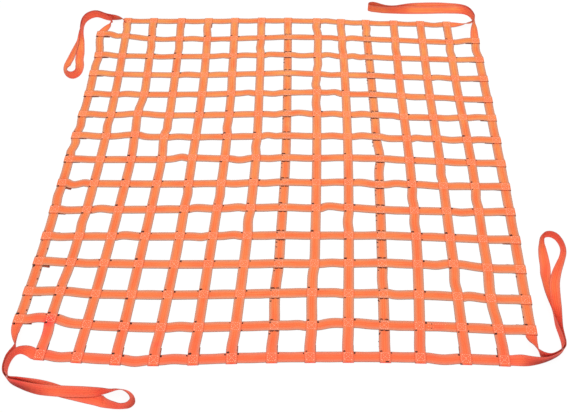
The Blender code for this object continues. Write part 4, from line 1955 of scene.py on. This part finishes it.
    def tack_marks(self, row: int, column: int) -> List[Matrix]:
        """Place the dark tacks of painted shade that show by one crossing; they thin out to the
        back and right.

        Args:
            row: Row of the crossing, from 0 at the back.
            column: Column of the crossing, from 0 at the left.

        Returns:
            A matrix for each thread.
        """
        plan = self.plan
        stream = seeded(Draw.SHADOW_TACKS, row, column)
        base = self.frame_at(row, column)
        under = column in plan.under_columns and 0 < row < plan.cells
        forward, rightward = row / plan.cells, column / plan.cells
        kept = 1.0 if under else ((self.back_share + (1.0 - self.back_share) * forward)
                                  * (1.0 - self.right_loss * rightward))
        marks = []
        for kind in UNDER_SHADOW_TACKS if under else SHADOW_TACKS:
            size = stream.uniform(*(self.line_sizes if under else self.tack_sizes))
            if stream.random() > kind.chance * kept or row == plan.cells and kind.back < 0:
                continue
            right, back, heading = kind.right, kind.back, kind.heading
            if kind.beside and not under and not plan.length_on_top(row, column):
                right, back, heading = self.BORDER_TACK
                back = math.copysign(back, kind.right)
            lift = self.dot_lift if under and not kind.beside else self.tack_lift
            height = self.width * lift - (plan.web.layer if kind.beside else 0.0)
            half = kind.breadth / 2 * size
            stretch = self.stretched(kind.length * size, half, self.TACK_STRETCH)
            for side in (-1, 1):
                turn = heading + stream.uniform(-self.tack_skew, self.tack_skew)
                place = Matrix.Translation((right * MM, back * MM, height))
                aside = Matrix.Translation((0.0, side * half / 2 * MM, 0.0))
                marks.append(base @ place @ spin(turn) @ aside @ stretch)
        return marks

    def lone_mark(self, mark: Mark) -> Matrix:
        """Place one dark tack of painted shade that stands by itself.

        Args:
            mark: The tack.

        Returns:
            Its matrix.
        """
        web = self.plan.web
        height = web.level(mark.layer) + web.thickness / 2 + self.width * self.LONE_LIFT
        place = Matrix.Translation((mark.x * MM, mark.y * MM, height))
        stretch = self.stretched(mark.length, self.width / MM, self.LONE_STRETCH)
        return place @ spin(mark.heading) @ stretch

    def stretched(self, length: float, breadth: float, more: Sequence[float]) -> Matrix:
        """Stretch a stitch to a length and breadth in mm, and each way by the given factors."""
        return Matrix.Diagonal((length * MM / self.length * more[0],
                                breadth * MM / self.width * more[1], more[2], 1.0))

    @staticmethod
    def joined(name: str, shape: Tuple[np.ndarray, List[List[int]]], marks: Sequence[Matrix],
               material: bpy.types.Material) -> bpy.types.Object:
        """Copy one shape to many places in one mesh.

        Args:
            name: Name of the piece.
            shape: Points and faces of the shape.
            marks: Where each copy goes.
            material: Its finish.

        Returns:
            The piece.
        """
        points, faces = shape
        matrices = [np.array(mark) for mark in marks]
        placed = [points @ matrix[:3, :3].T + matrix[:3, 3] for matrix in matrices]
        every = [np.array(faces) + number * len(points) for number in range(len(marks))]
        mesh = bpy.data.meshes.new(name)
        mesh.from_pydata(np.concatenate(placed).tolist(), [], np.concatenate(every).tolist())
        mesh.shade_smooth()
        mesh.materials.append(material)
        piece = bpy.data.objects.new(name, mesh)
        bpy.context.scene.collection.objects.link(piece)
        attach(piece, BODY)
        LOG.info("%s: %d stitches", name, len(marks))
        return piece


@dataclass
class Studio:
    """Floor, light and camera.

    Attributes:
        floor_size: Side of the floor, in metres.
        floor_drop: How far the floor lies under the net, in metres.
        room: Colour of the room's light.
        room_strength: Strength of the room's light.
        eye: Where the camera stands.
        tilt: How far it looks down, in degrees.
        yaw: How far it looks to the left, in degrees.
        roll: Its roll, in degrees.
        focal: Focal length in pixels of the photograph.
        image_width: Width of the photograph in pixels.
        sensor: Width of the camera's sensor, in mm.
    """

    floor_size: float = 14.0
    floor_drop: float = 0.0002
    room: Colour = (1.0, 0.99, 0.97, 1.0)
    room_strength: float = 0.5
    eye: Vector = Vector((0.0895, -1.5446, 1.7429))
    tilt: float = 52.221
    yaw: float = -3.690
    roll: float = -2.207
    focal: float = 718.55
    image_width: int = 569
    sensor: float = 36.0

    def build(self) -> None:
        """Make the floor, the lights and the camera."""
        self.floor()
        self.lights()
        self.camera()

    def floor(self) -> None:
        """Lay the pale floor just under the net."""
        bpy.ops.object.select_all(action="DESELECT")
        bpy.ops.mesh.primitive_plane_add(size=self.floor_size, location=(0, 0, -self.floor_drop))
        floor = bpy.context.object
        floor.name = "floor"
        floor.data.materials.append(FloorFinish().material())

    def lights(self) -> None:
        """Light the net softly from above."""
        world = bpy.data.worlds.new("soft_room")
        world.use_nodes = True
        ground = world.node_tree.nodes["Background"]
        ground.inputs["Color"].default_value = self.room
        ground.inputs["Strength"].default_value = self.room_strength
        bpy.context.scene.world = world
        self.softbox("overhead_light", place=(0.2, 0.5, 3.4), size=2.6, power=110)
        self.softbox("front_light", place=(-0.8, -3.4, 2.0), size=2.0, power=55)
        bpy.context.scene.view_settings.view_transform = "Standard"

    @staticmethod
    def softbox(name: str, place: Tuple[float, float, float], size: float, power: float) -> None:
        """Hang one square soft light, aimed at the middle of the net.

        Args:
            name: Name of the light.
            place: Where it hangs.
            size: Its side, in metres.
            power: Its power, in watts.
        """
        light = bpy.data.lights.new(name, "AREA")
        light.size = size
        light.energy = power
        lamp = bpy.data.objects.new(name, light)
        lamp.location = place
        lamp.rotation_euler = Vector(place).to_track_quat("Z", "Y").to_euler()
        bpy.context.scene.collection.objects.link(lamp)

    def camera(self) -> None:
        """Stand the camera where the photograph was taken from."""
        tilt, yaw, roll = (math.radians(angle) for angle in (self.tilt, self.yaw, self.roll))
        level = Vector((math.sin(yaw), math.cos(yaw), 0.0))
        ahead = level * math.cos(tilt) - UP * math.sin(tilt)
        right = -leftward(level)
        above = right.cross(ahead)
        side = right * math.cos(roll) + above * math.sin(roll)
        top = above * math.cos(roll) - right * math.sin(roll)
        data = bpy.data.cameras.new("camera")
        data.sensor_width = self.sensor
        data.sensor_fit = "HORIZONTAL"
        data.lens = self.focal / self.image_width * self.sensor
        camera = bpy.data.objects.new("camera", data)
        turn = Matrix((side, top, -ahead)).transposed()
        camera.matrix_world = Matrix.Translation(self.eye) @ turn.to_4x4()
        bpy.context.scene.collection.objects.link(camera)
        bpy.context.scene.camera = camera


def finishes() -> Dict[str, bpy.types.Material]:
    """Make every finish of the net, by name.

    Returns:
        The materials by name.
    """
    # Webbing: pale is painted highlight; deep in grooves, dull, selvedge, flushed, shaded are
    # painted shade.
    webbing = WebbingFinish(
        name="orange_webbing",
        body=(0.735, 0.180, 0.054, 1.0),
        faded=(0.72, 0.295, 0.078, 1.0),
        deep=(0.72, 0.115, 0.034, 1.0),
        pale=(0.90, 0.330, 0.180, 1.0),
        dull=(0.53, 0.225, 0.138, 1.0),
        selvedge=(0.12, 0.035, 0.020, 1.0),
        standing=0.9,
    )
    loops = WebbingFinish(
        name="loop_webbing",
        body=(0.78, 0.165, 0.050, 1.0),
        faded=(0.78, 0.260, 0.066, 1.0),
        deep=(0.76, 0.090, 0.038, 1.0),
        pale=(0.90, 0.280, 0.150, 1.0),
        dull=(0.66, 0.150, 0.085, 1.0),
        selvedge=(0.34, 0.050, 0.032, 1.0),
        flushed=(0.81, 0.062, 0.046, 1.0),
        standing=0.6,
    )
    # Light and dark are the painted highlight and painted shade of the thread's relief.
    thread = ThreadFinish(
        name="sewing_thread",
        light=(1.0, 0.55, 0.38, 1.0),
        dark=(0.90, 0.34, 0.20, 1.0),
    )
    # Dark thread for the tacks, which stand as painted shade in the gaps at the crossings.
    dark = ThreadFinish(
        name="shadow_tack_thread",
        light=(0.09, 0.008, 0.005, 1.0),
        dark=(0.03, 0.003, 0.002, 1.0),
    )
    return {finish.name: finish.material() for finish in (webbing, loops, thread, dark)}


def main() -> None:
    """Dress the net, set up the studio and note the sizes."""
    logging.basicConfig(level=logging.INFO, format="%(message)s")
    plan = NetPlan()
    looks = finishes()
    maker = StrapMaker(plan.web)
    Studio().build()
    sewing = Stitching(plan, looks["sewing_thread"], looks["shadow_tack_thread"], [])
    sewing.build()
    FieldStraps(plan, maker, looks["orange_webbing"], sewing).build()
    BorderStraps(plan, maker, looks["orange_webbing"], sewing).build()
    CornerLoops(plan, maker, looks["loop_webbing"]).build()


if __name__ == "__main__":
    main()
